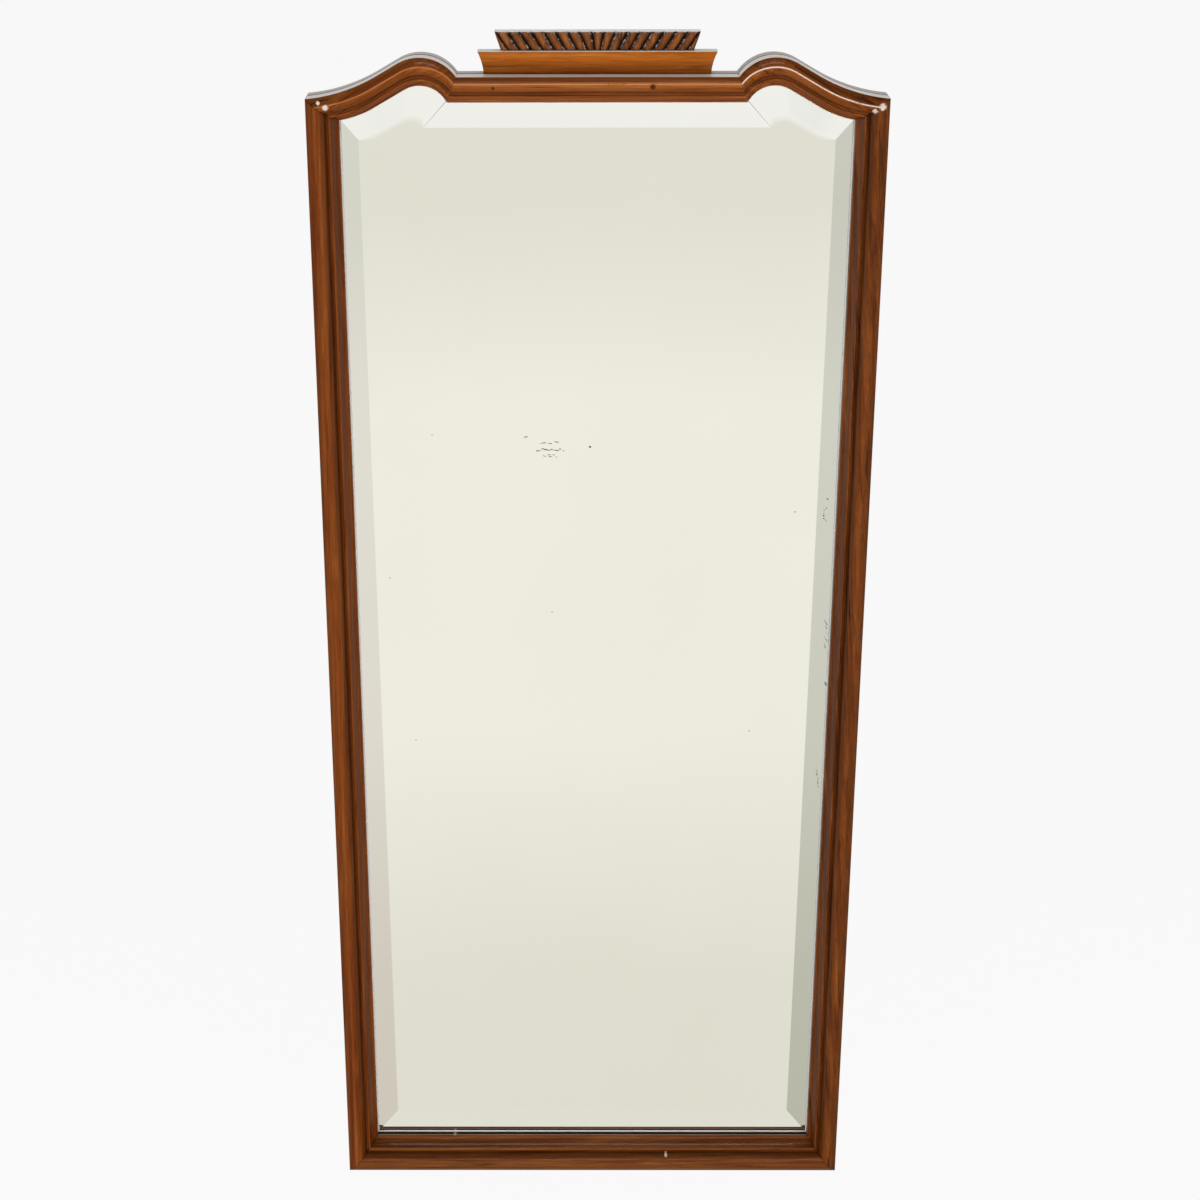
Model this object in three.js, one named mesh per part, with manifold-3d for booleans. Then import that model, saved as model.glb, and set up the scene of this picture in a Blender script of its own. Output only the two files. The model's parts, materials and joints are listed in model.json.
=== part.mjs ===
// Pier mirror: a bevelled plate in a moulded walnut frame with ogee shoulders and a gadrooned crest.
// Millimetres. +Z is up, the mirror faces -Y, and its back lies on the plane y = 0 towards the wall.
// Heights are counted from the bottom edge while building. The finished group is then lowered so that
// the origin is midway between the two hanging rings.
import * as THREE from "three";
import { mergeVertices } from "three/addons/utils/BufferGeometryUtils.js";
import Module from "manifold-3d";

const wasm = await Module();
wasm.setup();

// ---- Driving dimensions ------------------------------------------------------------------------------

// Outline of the frame
const WIDTH = 610;
const CORNER_Z = 1338.5; // outer corners, where the stiles end
const FLAT_RISE = 22.5; // straight top rail above the outer corners
const ARCH_RISE = 42.5; // crown of each shoulder above the outer corners
const ARCH_INSET = 120; // crown of each shoulder in from the side
const OUTER_ARCH_R = 46;
const OUTER_FLANK = 25; // straight flank between the arch and the hollow
const FLANK_SLOPE = THREE.MathUtils.degToRad(30);

// Widths of the moulding, from the sight edge to the outer edge
const STILE_W = 35;
const STILE_FOOT_W = 34.3; // the stiles narrow a little at the bottom, and more towards the top
const STILE_HEAD_W = 32.2;
const RAIL_W = 35;
const FLAT_W = 31;
const ARCH_W = 33.4;
const SIGHT_CORNER_DROP = 27; // sight corner below the outer corner
const SIGHT_ARCH_SHIFT = 2; // crown of the sight edge, outwards from the outer crown
const SIGHT_ARCH_R = 32;
const SIGHT_FLANK = 37.5;

// The moulding's section, as widths from the sight edge and depths forwards from the back of the frame
const LIP_FRONT = 12.5;
const ARRIS = 0.5; // blunted arris of the lip, and the small chamfer at the joint
const HOLLOW_W = 6.6;
const HOLLOW_FRONT = 15.5;
const BEAD_W = 9.3;
const BEAD_CENTRE_FRONT = 29.4;
const BEAD_R = 1.7;
const QUIRK_W = 13.6;
const QUIRK_FRONT = 29.6;
const SWELL_W = 14.6; // where the swell leaves the quirk steeply
const SWELL_FRONT = 38;
const TURN_W = 18.5; // where the swell has turned to the front
const RIDGE_W = 25; // foremost line of the moulding
const RIDGE_FRONT = 43.8;
const RIDGE_ROUND = 3;
const RIDGE_DROP = 0.7; // by which the swell falls away on both sides of the ridge's round
const EDGE_FRONT = 38.8; // outer front arris
const EDGE_ROUND = 2.4;

// Layers and rebates
const BACK_T = 17.4; // back frame
const LAYER_GAP = 0.2; // glue line between back frame and moulding
const REBATE_W = 8.5;
const RECESS_W = 17; // wider recess for the backboard
const BOARD_T = 3.2;
const BOARD_INSET = 0.15; // board face below the back of the frame
const BOARD_CLEARANCE = 0.4; // round the board's edge
const FIT_GAP = 0.15; // between pieces that rest on each other

// Mirror plate
const PLATE_T = 5;
const PLATE_EDGE_T = 2.2;
const PLATE_LAP = 7; // hidden under the lip
const LIP_CLEARANCE = 0.4; // between the lip and the bevel behind it
const BEVEL_SIDE_HEAD = 19.8; // bevel that shows beside the stiles, at the top and at the bottom
const BEVEL_SIDE_FOOT = 26.3;
const BEVEL_TOP = 27;
const BEVEL_BOTTOM = 34;
const BEVEL_ARCH_DROP = 34.5; // crown of the bevel line below the crown of the sight edge
const BEVEL_ARCH_SHIFT = 10;
const BEVEL_ARCH_R = 14.8;
const BEVEL_FLANK = 27;
const BEVEL_CORNER_DROP = 21.6; // bevel corner below the sight corner
const SETTING_BLOCK_L = 30;
const SETTING_BLOCK_X = 130;

// Screws of the backboard
const BOARD_SCREW_R = 1.4;
const BOARD_SCREW_HEAD_R = 2.8;
const BOARD_SCREW_L = 11;
const SIDE_SCREW_SHARES = [0.1, 0.5, 0.9]; // along the stiles, from the bottom mitre to the top one
const BOTTOM_SCREW_X = 150;
const TOP_SCREW_X = 40;

// Crest
const CREST_T = 17.6;
const CREST_BACK = 0.6;
const CREST_FOOT_W = 237.8;
const CREST_TOP_W = 250.8;
const CREST_H = 22.8;
const CREST_COVE = 1.2; // hollow of the lower tier's ends
const GADROON_TOP_W = 215;
const GADROON_FOOT_W = 201.8;
const GADROON_H = 20;
const GADROON_FOOT_T = 13.2;
const REED_COUNT = 17;
const REED_DEPTH = 3;
const REED_LEAN = 0.79; // how far the feet of the outer reeds draw in, in reeds
const REED_LEAN_REACH = 1.4; // reeds from the middle one over which that lean sets in
const END_REED_HEAD_W = 1; // narrow reed that fills each end of the tier
const END_REED_FOOT_W = 7.5;
const SEAT_GAP = 0.1;
const DOWEL_R = 3;
const DOWEL_X = 70;
const DOWEL_FRONT = 5.3; // dowel's centre in front of the back of the frame
const DOWEL_IN_RAIL = 12;
const DOWEL_IN_GADROON = 10;

// Mitres and the splines across them
const MITRE_GAP = 0.2;
const SPLINE_L = 16;
const SPLINE_W = 9;
const SPLINE_T = 2.6;
const SPLINE_BACK = 9;

// Hangers
const RING_Z = 1120; // hinge line of the hanging rings
const STRAP_W = 10;
const STRAP_L = 44;
const STRAP_T = 1.6;
const STRAP_CENTRE_W = 24.5; // from the sight edge
const BARREL_R = 3.4;
const RING_WIRE_R = 1.4;
const RING_CLEARANCE = 0.4;
const RING_W = 17; // between the centres of the ring's legs
const RING_CORNER_R = 3;
const RING_LEG = 9;
const STRAP_SCREW_R = 1.7;
const STRAP_SCREW_HEAD_R = 3.2;
const STRAP_SCREW_L = 13;
const STRAP_SCREW_DROP = { upper: 15, lower: 33 }; // below the hinge line
const SLOT_W = 0.8;
const SLOT_DEPTH = 0.7;

// Fineness of the facets
const ARCH_STEPS = 12;
const HOLLOW_STEPS = 6;
const CURVE_STEPS = 5;
const ROUND_SIDES = 12;
const BEND_STEPS = 4;
const WIRE_SIDES = 8;
const REED_STEPS = 6;
const REED_ROWS = 6;

// ---- Sizes that follow -------------------------------------------------------------------------------

const HALF_W = WIDTH / 2;
const SIGHT_FOOT_X = HALF_W - STILE_FOOT_W;
const SIGHT_HEAD_X = HALF_W - STILE_HEAD_W;
const FLAT_Z = CORNER_Z + FLAT_RISE;
const ARCH_X = HALF_W - ARCH_INSET;
const ARCH_Z = CORNER_Z + ARCH_RISE;
const RECESS_T = BOARD_INSET + BOARD_T + FIT_GAP;
const PLATE_BACK = RECESS_T + SEAT_GAP;
const NARROWEST_BEVEL = Math.min(BEVEL_SIDE_HEAD, BEVEL_TOP, BEVEL_BOTTOM);
const BEVEL_AT_LIP = ((PLATE_T - PLATE_EDGE_T) * PLATE_LAP) / (PLATE_LAP + NARROWEST_BEVEL);
const LIP_BACK = PLATE_BACK + PLATE_EDGE_T + BEVEL_AT_LIP + LIP_CLEARANCE;
const LIP_BLOCK_W = REBATE_W - 2 * FIT_GAP;
const JOINT = BACK_T + LAYER_GAP;
const LEDGE_W = (REBATE_W + RECESS_W) / 2; // middle of the ledge that carries the backboard
const CREST_Z = FLAT_Z + SEAT_GAP;
const GADROON_Z = CREST_Z + CREST_H + SEAT_GAP;
const RING_X = HALF_W - STILE_W + STRAP_CENTRE_W;
const RING_Y = SEAT_GAP + BARREL_R; // hinge line behind the back of the frame

// ---- Colours -----------------------------------------------------------------------------------------

const walnut = new THREE.MeshStandardMaterial({ color: 0x8a4a24, roughness: 0.32, metalness: 0 });
const crestWood = new THREE.MeshStandardMaterial({ color: 0xa86a2e, roughness: 0.35, metalness: 0 });
const carvedWood = new THREE.MeshStandardMaterial({ color: 0x5a3a24, roughness: 0.35, metalness: 0 });
const backWood = new THREE.MeshStandardMaterial({ color: 0x9c7448, roughness: 0.7, metalness: 0 });
const silvered = new THREE.MeshStandardMaterial({ color: 0xe4e4da, roughness: 0.03, metalness: 1 });
const boardWood = new THREE.MeshStandardMaterial({ color: 0xb08a5c, roughness: 0.8, metalness: 0 });
const beech = new THREE.MeshStandardMaterial({ color: 0xc9a273, roughness: 0.6, metalness: 0 });
const brass = new THREE.MeshStandardMaterial({ color: 0xb08d4a, roughness: 0.35, metalness: 1 });
const steel = new THREE.MeshStandardMaterial({ color: 0x8e8c86, roughness: 0.4, metalness: 1 });

// ---- Solids and meshes -------------------------------------------------------------------------------

const mirror = new THREE.Group();
mirror.position.z = -RING_Z;

function addMesh(name, geometry, material) {
  const mesh = new THREE.Mesh(geometry, material);
  mesh.name = name;
  mirror.add(mesh);
}

// The same surface with shared corners and without the empty triangles that a lathe leaves on its axis.
function welded(geometry) {
  const bare = geometry.clone();
  bare.deleteAttribute("normal");
  bare.deleteAttribute("uv");
  const merged = mergeVertices(bare, 1e-4);
  const corners = merged.index.array;
  const faces = [];
  for (let i = 0; i < corners.length; i += 3) {
    const [a, b, c] = [corners[i], corners[i + 1], corners[i + 2]];
    if (a !== b && b !== c && c !== a) faces.push(a, b, c);
  }
  merged.setIndex(faces);
  return merged;
}

function solidOf(geometry) {
  const shell = welded(geometry);
  return new wasm.Manifold(
    new wasm.Mesh({
      numProp: 3,
      vertProperties: shell.attributes.position.array,
      triVerts: new Uint32Array(shell.index.array),
    }),
  );
}

function geometryOf(solid) {
  const mesh = solid.getMesh();
  const geometry = new THREE.BufferGeometry();
  geometry.setAttribute("position", new THREE.BufferAttribute(mesh.vertProperties, 3));
  geometry.setIndex(new THREE.BufferAttribute(mesh.triVerts, 1));
  return geometry;
}

function cut(geometry, tools) {
  return geometryOf(tools.reduce((left, tool) => left.subtract(solidOf(tool)), solidOf(geometry)));
}

function join(first, second) {
  return geometryOf(solidOf(first).add(solidOf(second)));
}

function signedVolume(points, faces) {
  let sum = 0;
  for (let i = 0; i < faces.length; i += 3) {
    const [a, b, c] = [points[faces[i]], points[faces[i + 1]], points[faces[i + 2]]];
    sum += a.dot(new THREE.Vector3().crossVectors(b, c));
  }
  return sum;
}

// Triangles that fill one flat ring of points, wound as the ring is.
function capOf(ring) {
  const normal = new THREE.Vector3();
  for (let i = 1; i < ring.length - 1; i++) {
    const u = ring[i].clone().sub(ring[0]);
    const v = ring[i + 1].clone().sub(ring[0]);
    normal.add(u.cross(v));
  }
  normal.normalize();
  const along = new THREE.Vector3(0, 1, 0).cross(normal);
  if (along.length() < 0.1) along.set(1, 0, 0);
  along.normalize();
  const upwards = new THREE.Vector3().crossVectors(normal, along);
  const flat = ring.map((p) => new THREE.Vector2(p.dot(along), p.dot(upwards)));
  return THREE.ShapeUtils.triangulateShape(flat, []).flatMap(([a, b, c]) => {
    const turn = flat[b].clone().sub(flat[a]).cross(flat[c].clone().sub(flat[a]));
    return turn > 0 ? [a, b, c] : [a, c, b];
  });
}

// Skins a run of rings that have as many points each. It caps both ends, or joins the last ring to the
// first.
function loft(rings, endless = false) {
  const sides = rings[0].length;
  const points = rings.flat();
  const faces = [];
  const spans = endless ? rings.length : rings.length - 1;
  for (let i = 0; i < spans; i++) {
    const next = (i + 1) % rings.length;
    for (let j = 0; j < sides; j++) {
      const k = (j + 1) % sides;
      const [a, b, c, d] = [i * sides + j, i * sides + k, next * sides + k, next * sides + j];
      faces.push(a, b, c, a, c, d);
    }
  }
  if (!endless) {
    const last = (rings.length - 1) * sides;
    const startCap = capOf(rings[0]);
    for (let i = 0; i < startCap.length; i += 3) faces.push(startCap[i], startCap[i + 2], startCap[i + 1]);
    capOf(rings.at(-1)).forEach((index) => faces.push(last + index));
  }
  if (signedVolume(points, faces) < 0) {
    for (let i = 0; i < faces.length; i += 3) [faces[i + 1], faces[i + 2]] = [faces[i + 2], faces[i + 1]];
  }
  const geometry = new THREE.BufferGeometry().setFromPoints(points);
  geometry.setIndex(faces);
  return geometry;
}

// ---- Outlines ----------------------------------------------------------------------------------------

// Half of an ogee top as [x, z] points, from the valley beside the flat out to the corner:
// an arch, a straight flank, and a hollow that leaves the flank smoothly and ends on the corner.
function ogee({ flatZ, crownX, crownZ, radius, flank, cornerX, cornerZ }) {
  const centreZ = crownZ - radius;
  const valleyAngle = Math.PI - Math.asin((flatZ - centreZ) / radius);
  const flankAngle = Math.PI / 2 - FLANK_SLOPE;
  const points = [];
  for (let i = 0; i <= ARCH_STEPS; i++) {
    const angle = THREE.MathUtils.lerp(valleyAngle, flankAngle, i / ARCH_STEPS);
    points.push([crownX + radius * Math.cos(angle), centreZ + radius * Math.sin(angle)]);
  }
  const down = new THREE.Vector2(Math.cos(FLANK_SLOPE), -Math.sin(FLANK_SLOPE));
  const up = new THREE.Vector2(Math.sin(FLANK_SLOPE), Math.cos(FLANK_SLOPE));
  const start = new THREE.Vector2(...points.at(-1)).addScaledVector(down, flank);
  const chord = new THREE.Vector2(cornerX, cornerZ).sub(start);
  const hollowR = chord.lengthSq() / (2 * chord.dot(up));
  const sweep = 2 * Math.atan2(chord.dot(up), chord.dot(down));
  for (let i = 0; i <= HOLLOW_STEPS; i++) {
    const angle = (sweep * i) / HOLLOW_STEPS;
    const point = start.clone();
    point.addScaledVector(down, hollowR * Math.sin(angle));
    point.addScaledVector(up, hollowR * (1 - Math.cos(angle)));
    points.push([point.x, point.y]);
  }
  return points;
}

const SIGHT_OGEE = {
  flatZ: FLAT_Z - FLAT_W,
  crownX: ARCH_X + SIGHT_ARCH_SHIFT,
  crownZ: ARCH_Z - ARCH_W,
  radius: SIGHT_ARCH_R,
  flank: SIGHT_FLANK,
  cornerX: SIGHT_HEAD_X,
  cornerZ: CORNER_Z - SIGHT_CORNER_DROP,
};
const OUTER_OGEE = {
  flatZ: FLAT_Z,
  crownX: ARCH_X,
  crownZ: ARCH_Z,
  radius: OUTER_ARCH_R,
  flank: OUTER_FLANK,
  cornerX: HALF_W,
  cornerZ: CORNER_Z,
};
const BEVEL_OGEE = {
  flatZ: SIGHT_OGEE.flatZ - BEVEL_TOP,
  crownX: SIGHT_OGEE.crownX + BEVEL_ARCH_SHIFT,
  crownZ: SIGHT_OGEE.crownZ - BEVEL_ARCH_DROP,
  radius: BEVEL_ARCH_R,
  flank: BEVEL_FLANK,
  cornerX: SIGHT_HEAD_X - BEVEL_SIDE_HEAD,
  cornerZ: SIGHT_OGEE.cornerZ - BEVEL_CORNER_DROP,
};

// A station is one line across the moulding, from the sight edge to the outer edge, with the width that the
// moulding has there when it is measured square.
function shoulderStations() {
  const outer = ogee(OUTER_OGEE);
  const sight = ogee(SIGHT_OGEE);
  const crown = ARCH_STEPS / 2;
  const last = sight.length - 1;
  return sight.map((point, i) => {
    const inArch = THREE.MathUtils.lerp(FLAT_W, ARCH_W, i / crown);
    const pastArch = THREE.MathUtils.lerp(ARCH_W, STILE_W, (i - crown) / (last - crown));
    return { sight: point, outer: outer[i], width: i < crown ? inArch : pastArch };
  });
}

const SHOULDER = shoulderStations();
const VALLEY = SHOULDER[0];
const TOP_CORNER = SHOULDER.at(-1);
const BOTTOM_CORNER = { sight: [SIGHT_FOOT_X, RAIL_W], outer: [HALF_W, 0], width: STILE_W };

// Point of a station at the distance w from the sight edge. Up to the ridge the moulding keeps its shape on
// every member, and the band beyond the ridge takes up what is left of the width.
function across(station, w, side) {
  const ridge = RIDGE_W / station.width;
  const beyond = THREE.MathUtils.lerp(ridge, 1, (w - RIDGE_W) / (STILE_W - RIDGE_W));
  const share = w <= RIDGE_W ? w / station.width : beyond;
  const x = THREE.MathUtils.lerp(station.sight[0], station.outer[0], share);
  const z = THREE.MathUtils.lerp(station.sight[1], station.outer[1], share);
  return { x: side * x, z };
}

// Places a section, a list of [width, depth], on a station.
function ringAt(station, section, side) {
  return section.map(([w, depth]) => {
    const { x, z } = across(station, w, side);
    return new THREE.Vector3(x, -depth, z);
  });
}

// Draws an end ring back from the mitre by half the gap.
function easedFrom(ring, next) {
  return ring.map((p, i) => {
    const step = next[i].clone().sub(p).normalize();
    return p.clone().addScaledVector(step, MITRE_GAP / 2);
  });
}

// A member of the frame: its section carried from one mitre to the other.
function member(rings) {
  const first = easedFrom(rings[0], rings[1]);
  const last = easedFrom(rings.at(-1), rings.at(-2));
  return loft([first, ...rings.slice(1, -1), last]);
}

function stile(section, side) {
  return member([ringAt(BOTTOM_CORNER, section, side), ringAt(TOP_CORNER, section, side)]);
}

function rail(station, section) {
  return member([ringAt(station, section, -1), ringAt(station, section, 1)]);
}

function shoulder(section, side) {
  return member(SHOULDER.map((station) => ringAt(station, section, side)));
}

// Rail and both shoulders in one piece.
function headBoard(section) {
  const left = SHOULDER.map((station) => ringAt(station, section, -1)).reverse();
  const right = SHOULDER.map((station) => ringAt(station, section, 1));
  return member([...left, ...right]);
}

// The whole outline of the frame's opening as one flat ring at a depth, widened by w from the sight edge.
function outlineRing(w, depth) {
  const stations = [BOTTOM_CORNER, ...SHOULDER.toReversed()];
  const right = stations.map((station) => across(station, w, 1));
  const left = stations.map((station) => across(station, w, -1)).reverse();
  return [...right, ...left].map(({ x, z }) => new THREE.Vector3(x, -depth, z));
}

// ---- Moulded front -----------------------------------------------------------------------------------

function sampled(curve) {
  return curve.getPoints(CURVE_STEPS).map((p) => [p.x, p.y]);
}

// From the lip over the hollow, the bead and the broad swell to the outer edge, and back along the joint.
function mouldingSection() {
  const hollow = new THREE.QuadraticBezierCurve(
    new THREE.Vector2(ARRIS, LIP_FRONT),
    new THREE.Vector2(HOLLOW_W, HOLLOW_FRONT),
    new THREE.Vector2(BEAD_W - BEAD_R, BEAD_CENTRE_FRONT),
  );
  const bead = new THREE.EllipseCurve(BEAD_W, BEAD_CENTRE_FRONT, BEAD_R, BEAD_R, Math.PI, Math.PI / 9, true);
  const swell = new THREE.CubicBezierCurve(
    new THREE.Vector2(QUIRK_W, QUIRK_FRONT),
    new THREE.Vector2(SWELL_W, SWELL_FRONT),
    new THREE.Vector2(TURN_W, RIDGE_FRONT - RIDGE_DROP),
    new THREE.Vector2(RIDGE_W, RIDGE_FRONT),
  );
  const outerRound = new THREE.CubicBezierCurve(
    new THREE.Vector2(RIDGE_W, RIDGE_FRONT),
    new THREE.Vector2(RIDGE_W + RIDGE_ROUND, RIDGE_FRONT - RIDGE_DROP),
    new THREE.Vector2(STILE_W - EDGE_ROUND, EDGE_FRONT + EDGE_ROUND),
    new THREE.Vector2(STILE_W, EDGE_FRONT),
  );
  return [
    [0, LIP_BACK],
    [0, LIP_FRONT - ARRIS],
    ...sampled(hollow),
    ...sampled(bead).slice(1),
    ...sampled(swell),
    ...sampled(outerRound).slice(1),
    [STILE_W, JOINT + ARRIS],
    [STILE_W - ARRIS, JOINT],
    [LIP_BLOCK_W, JOINT],
    [LIP_BLOCK_W, LIP_BACK],
  ];
}

function mouldedFront() {
  const section = mouldingSection();
  addMesh("left_stile", stile(section, -1), walnut);
  addMesh("right_stile", stile(section, 1), walnut);
  addMesh("bottom_rail", rail(BOTTOM_CORNER, section), walnut);
  addMesh("top_rail", rail(VALLEY, section), walnut);
  addMesh("left_shoulder", shoulder(section, -1), walnut);
  addMesh("right_shoulder", shoulder(section, 1), walnut);
}

// ---- Fastenings --------------------------------------------------------------------------------------

// A countersunk screw that points forwards, with the top of its head at a depth. With a clearance it is
// the hole that takes the screw, open above the head.
function screwBody(headR, shankR, length, clearance, { x, depth, z }) {
  const tipR = shankR / 2;
  const headH = headR - shankR;
  const profile = [
    [0, -length - clearance],
    [tipR + clearance, -length - clearance],
    [shankR + clearance, shankR - length],
    [shankR + clearance, -headH],
    [headR + clearance, 0],
  ];
  if (clearance) profile.push([headR + clearance, 1]);
  profile.push([0, profile.at(-1)[1]]);
  const geometry = new THREE.LatheGeometry(
    profile.map(([r, height]) => new THREE.Vector2(r, height)),
    ROUND_SIDES,
  );
  geometry.translate(x, -depth, z);
  return geometry;
}

function slottedScrew(headR, shankR, length, place) {
  const slot = new THREE.BoxGeometry(3 * headR, 2 * SLOT_DEPTH, SLOT_W);
  slot.translate(place.x, -place.depth, place.z);
  return cut(screwBody(headR, shankR, length, 0, place), [slot]);
}

const SIDE_NAME = { "-1": "left", 1: "right" };
const SIDES = [-1, 1];

function boardScrewPlaces() {
  const places = [];
  for (const side of SIDES) {
    const name = SIDE_NAME[side];
    const foot = across(BOTTOM_CORNER, LEDGE_W, side);
    const head = across(TOP_CORNER, LEDGE_W, side);
    SIDE_SCREW_SHARES.forEach((share, i) => {
      const x = THREE.MathUtils.lerp(foot.x, head.x, share);
      const z = THREE.MathUtils.lerp(foot.z, head.z, share);
      places.push({ name: `board_screw_${name}_${i + 1}`, seat: name, x, z });
    });
    const bottomZ = foot.z;
    const topZ = across(VALLEY, LEDGE_W, side).z;
    const low = { seat: "bottom", x: side * BOTTOM_SCREW_X, z: bottomZ };
    const high = { seat: "top", x: side * TOP_SCREW_X, z: topZ };
    places.push({ name: `board_screw_bottom_${name}`, ...low });
    places.push({ name: `board_screw_top_${name}`, ...high });
  }
  return places.map((place) => ({ ...place, depth: BOARD_INSET }));
}

function strapScrewPlaces() {
  return SIDES.flatMap((side) =>
    Object.entries(STRAP_SCREW_DROP).map(([level, drop]) => ({
      name: `${SIDE_NAME[side]}_hanger_screw_${level}`,
      seat: SIDE_NAME[side],
      x: side * RING_X,
      z: RING_Z - drop,
      depth: -SEAT_GAP - STRAP_T,
    })),
  );
}

const BOARD_SCREWS = boardScrewPlaces();
const STRAP_SCREWS = strapScrewPlaces();

function boardScrewHole(place) {
  return screwBody(BOARD_SCREW_HEAD_R, BOARD_SCREW_R, BOARD_SCREW_L, FIT_GAP, place);
}

function strapScrewHole(place) {
  return screwBody(STRAP_SCREW_HEAD_R, STRAP_SCREW_R, STRAP_SCREW_L, FIT_GAP, place);
}

function holesFor(seat) {
  const forBoard = BOARD_SCREWS.filter((place) => place.seat === seat).map(boardScrewHole);
  const forStrap = STRAP_SCREWS.filter((place) => place.seat === seat).map(strapScrewHole);
  return [...forBoard, ...forStrap];
}

function screws() {
  for (const place of BOARD_SCREWS) {
    addMesh(place.name, slottedScrew(BOARD_SCREW_HEAD_R, BOARD_SCREW_R, BOARD_SCREW_L, place), steel);
  }
  for (const place of STRAP_SCREWS) {
    addMesh(place.name, slottedScrew(STRAP_SCREW_HEAD_R, STRAP_SCREW_R, STRAP_SCREW_L, place), brass);
  }
}

// ---- Back frame --------------------------------------------------------------------------------------

const BACK_SECTION = [
  [REBATE_W, RECESS_T],
  [REBATE_W, BACK_T],
  [STILE_W, BACK_T],
  [STILE_W, 0],
  [RECESS_W, 0],
  [RECESS_W, RECESS_T],
];

// The flat tongue across a mitre, or with a clearance the slot that takes it.
function spline(station, side, clearance) {
  const inner = across(station, REBATE_W, side);
  const outer = across(station, STILE_W, side);
  const geometry = new THREE.BoxGeometry(
    SPLINE_L + 2 * clearance,
    SPLINE_T + 2 * clearance,
    SPLINE_W + 2 * clearance,
  );
  geometry.rotateY(Math.atan2(outer.x - inner.x, outer.z - inner.z));
  geometry.translate((inner.x + outer.x) / 2, -SPLINE_BACK - SPLINE_T / 2, (inner.z + outer.z) / 2);
  return geometry;
}

// A dowel through the lower tier of the crest, from the frame up into the gadrooned tier.
function dowel(side, clearance) {
  const [foot, head] = [FLAT_Z - DOWEL_IN_RAIL - clearance, GADROON_Z + DOWEL_IN_GADROON + clearance];
  const geometry = new THREE.CylinderGeometry(
    DOWEL_R + clearance,
    DOWEL_R + clearance,
    head - foot,
    ROUND_SIDES,
  );
  geometry.rotateX(Math.PI / 2);
  geometry.translate(side * DOWEL_X, -DOWEL_FRONT, (foot + head) / 2);
  return geometry;
}

const DOWEL_HOLES = SIDES.map((side) => dowel(side, FIT_GAP));

function backFrame() {
  for (const side of SIDES) {
    const name = SIDE_NAME[side];
    const slots = [BOTTOM_CORNER, TOP_CORNER].map((station) => spline(station, side, FIT_GAP));
    addMesh(`${name}_back_stile`, cut(stile(BACK_SECTION, side), [...slots, ...holesFor(name)]), backWood);
    addMesh(`bottom_${name}_spline`, spline(BOTTOM_CORNER, side, 0), beech);
    addMesh(`top_${name}_spline`, spline(TOP_CORNER, side, 0), beech);
  }
  const slotsAt = (station) => SIDES.map((side) => spline(station, side, FIT_GAP));
  const bottomCuts = [...slotsAt(BOTTOM_CORNER), ...holesFor("bottom")];
  const topCuts = [...slotsAt(TOP_CORNER), ...holesFor("top"), ...DOWEL_HOLES];
  addMesh("bottom_back_rail", cut(rail(BOTTOM_CORNER, BACK_SECTION), bottomCuts), backWood);
  addMesh("top_back_rail", cut(headBoard(BACK_SECTION), topCuts), backWood);
}

// ---- Mirror plate and what holds it ------------------------------------------------------------------

// The line where the bevel meets the flat field, with as many points as the plate's outline.
function fieldRing(depth) {
  const half = [[SIGHT_FOOT_X - BEVEL_SIDE_FOOT, RAIL_W + BEVEL_BOTTOM], ...ogee(BEVEL_OGEE).reverse()];
  const right = half.map(([x, z]) => new THREE.Vector3(x, -depth, z));
  const left = half.map(([x, z]) => new THREE.Vector3(-x, -depth, z)).reverse();
  return [...right, ...left];
}

function mirrorPlate() {
  const back = outlineRing(PLATE_LAP, PLATE_BACK);
  const edge = outlineRing(PLATE_LAP, PLATE_BACK + PLATE_EDGE_T);
  const field = fieldRing(PLATE_BACK + PLATE_T);
  addMesh("mirror_plate", loft([back, edge, field]), silvered);
}

function settingBlocks() {
  const low = across(BOTTOM_CORNER, REBATE_W, 1).z + FIT_GAP;
  const high = across(BOTTOM_CORNER, PLATE_LAP, 1).z - FIT_GAP;
  for (const side of SIDES) {
    const block = new THREE.BoxGeometry(SETTING_BLOCK_L, PLATE_EDGE_T - FIT_GAP, high - low);
    block.translate(side * SETTING_BLOCK_X, -PLATE_BACK - PLATE_EDGE_T / 2, (low + high) / 2);
    addMesh(`${SIDE_NAME[side]}_setting_block`, block, beech);
  }
}

function backboard() {
  const edge = RECESS_W - BOARD_CLEARANCE;
  const sheet = loft([outlineRing(edge, BOARD_INSET), outlineRing(edge, BOARD_INSET + BOARD_T)]);
  addMesh("backboard", cut(sheet, BOARD_SCREWS.map(boardScrewHole)), boardWood);
}

// ---- Crest -------------------------------------------------------------------------------------------

// The plain lower tier, whose ends hollow outwards.
function crestBase() {
  const [foot, top] = [CREST_FOOT_W / 2, CREST_TOP_W / 2];
  const hollow = (foot + top) / 2 - 2 * CREST_COVE;
  const shape = new THREE.Shape();
  shape.moveTo(-foot, 0);
  shape.lineTo(foot, 0);
  shape.quadraticCurveTo(hollow, CREST_H / 2, top, CREST_H);
  shape.lineTo(-top, CREST_H);
  shape.quadraticCurveTo(-hollow, CREST_H / 2, -foot, 0);
  const geometry = new THREE.ExtrudeGeometry(shape, {
    depth: CREST_T,
    bevelEnabled: false,
    curveSegments: CURVE_STEPS,
  });
  geometry.rotateX(Math.PI / 2);
  geometry.translate(0, -CREST_BACK, CREST_Z);
  addMesh("crest_base", cut(geometry, DOWEL_HOLES), crestWood);
}

// Place of a reed's edge along the tier's foot, in reeds, for an edge that many reeds from the middle at the
// head. Near the middle the reeds fan out, and further out they all lean alike.
function fanned(reeds) {
  return reeds - REED_LEAN * Math.tanh(reeds / REED_LEAN_REACH);
}

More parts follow.
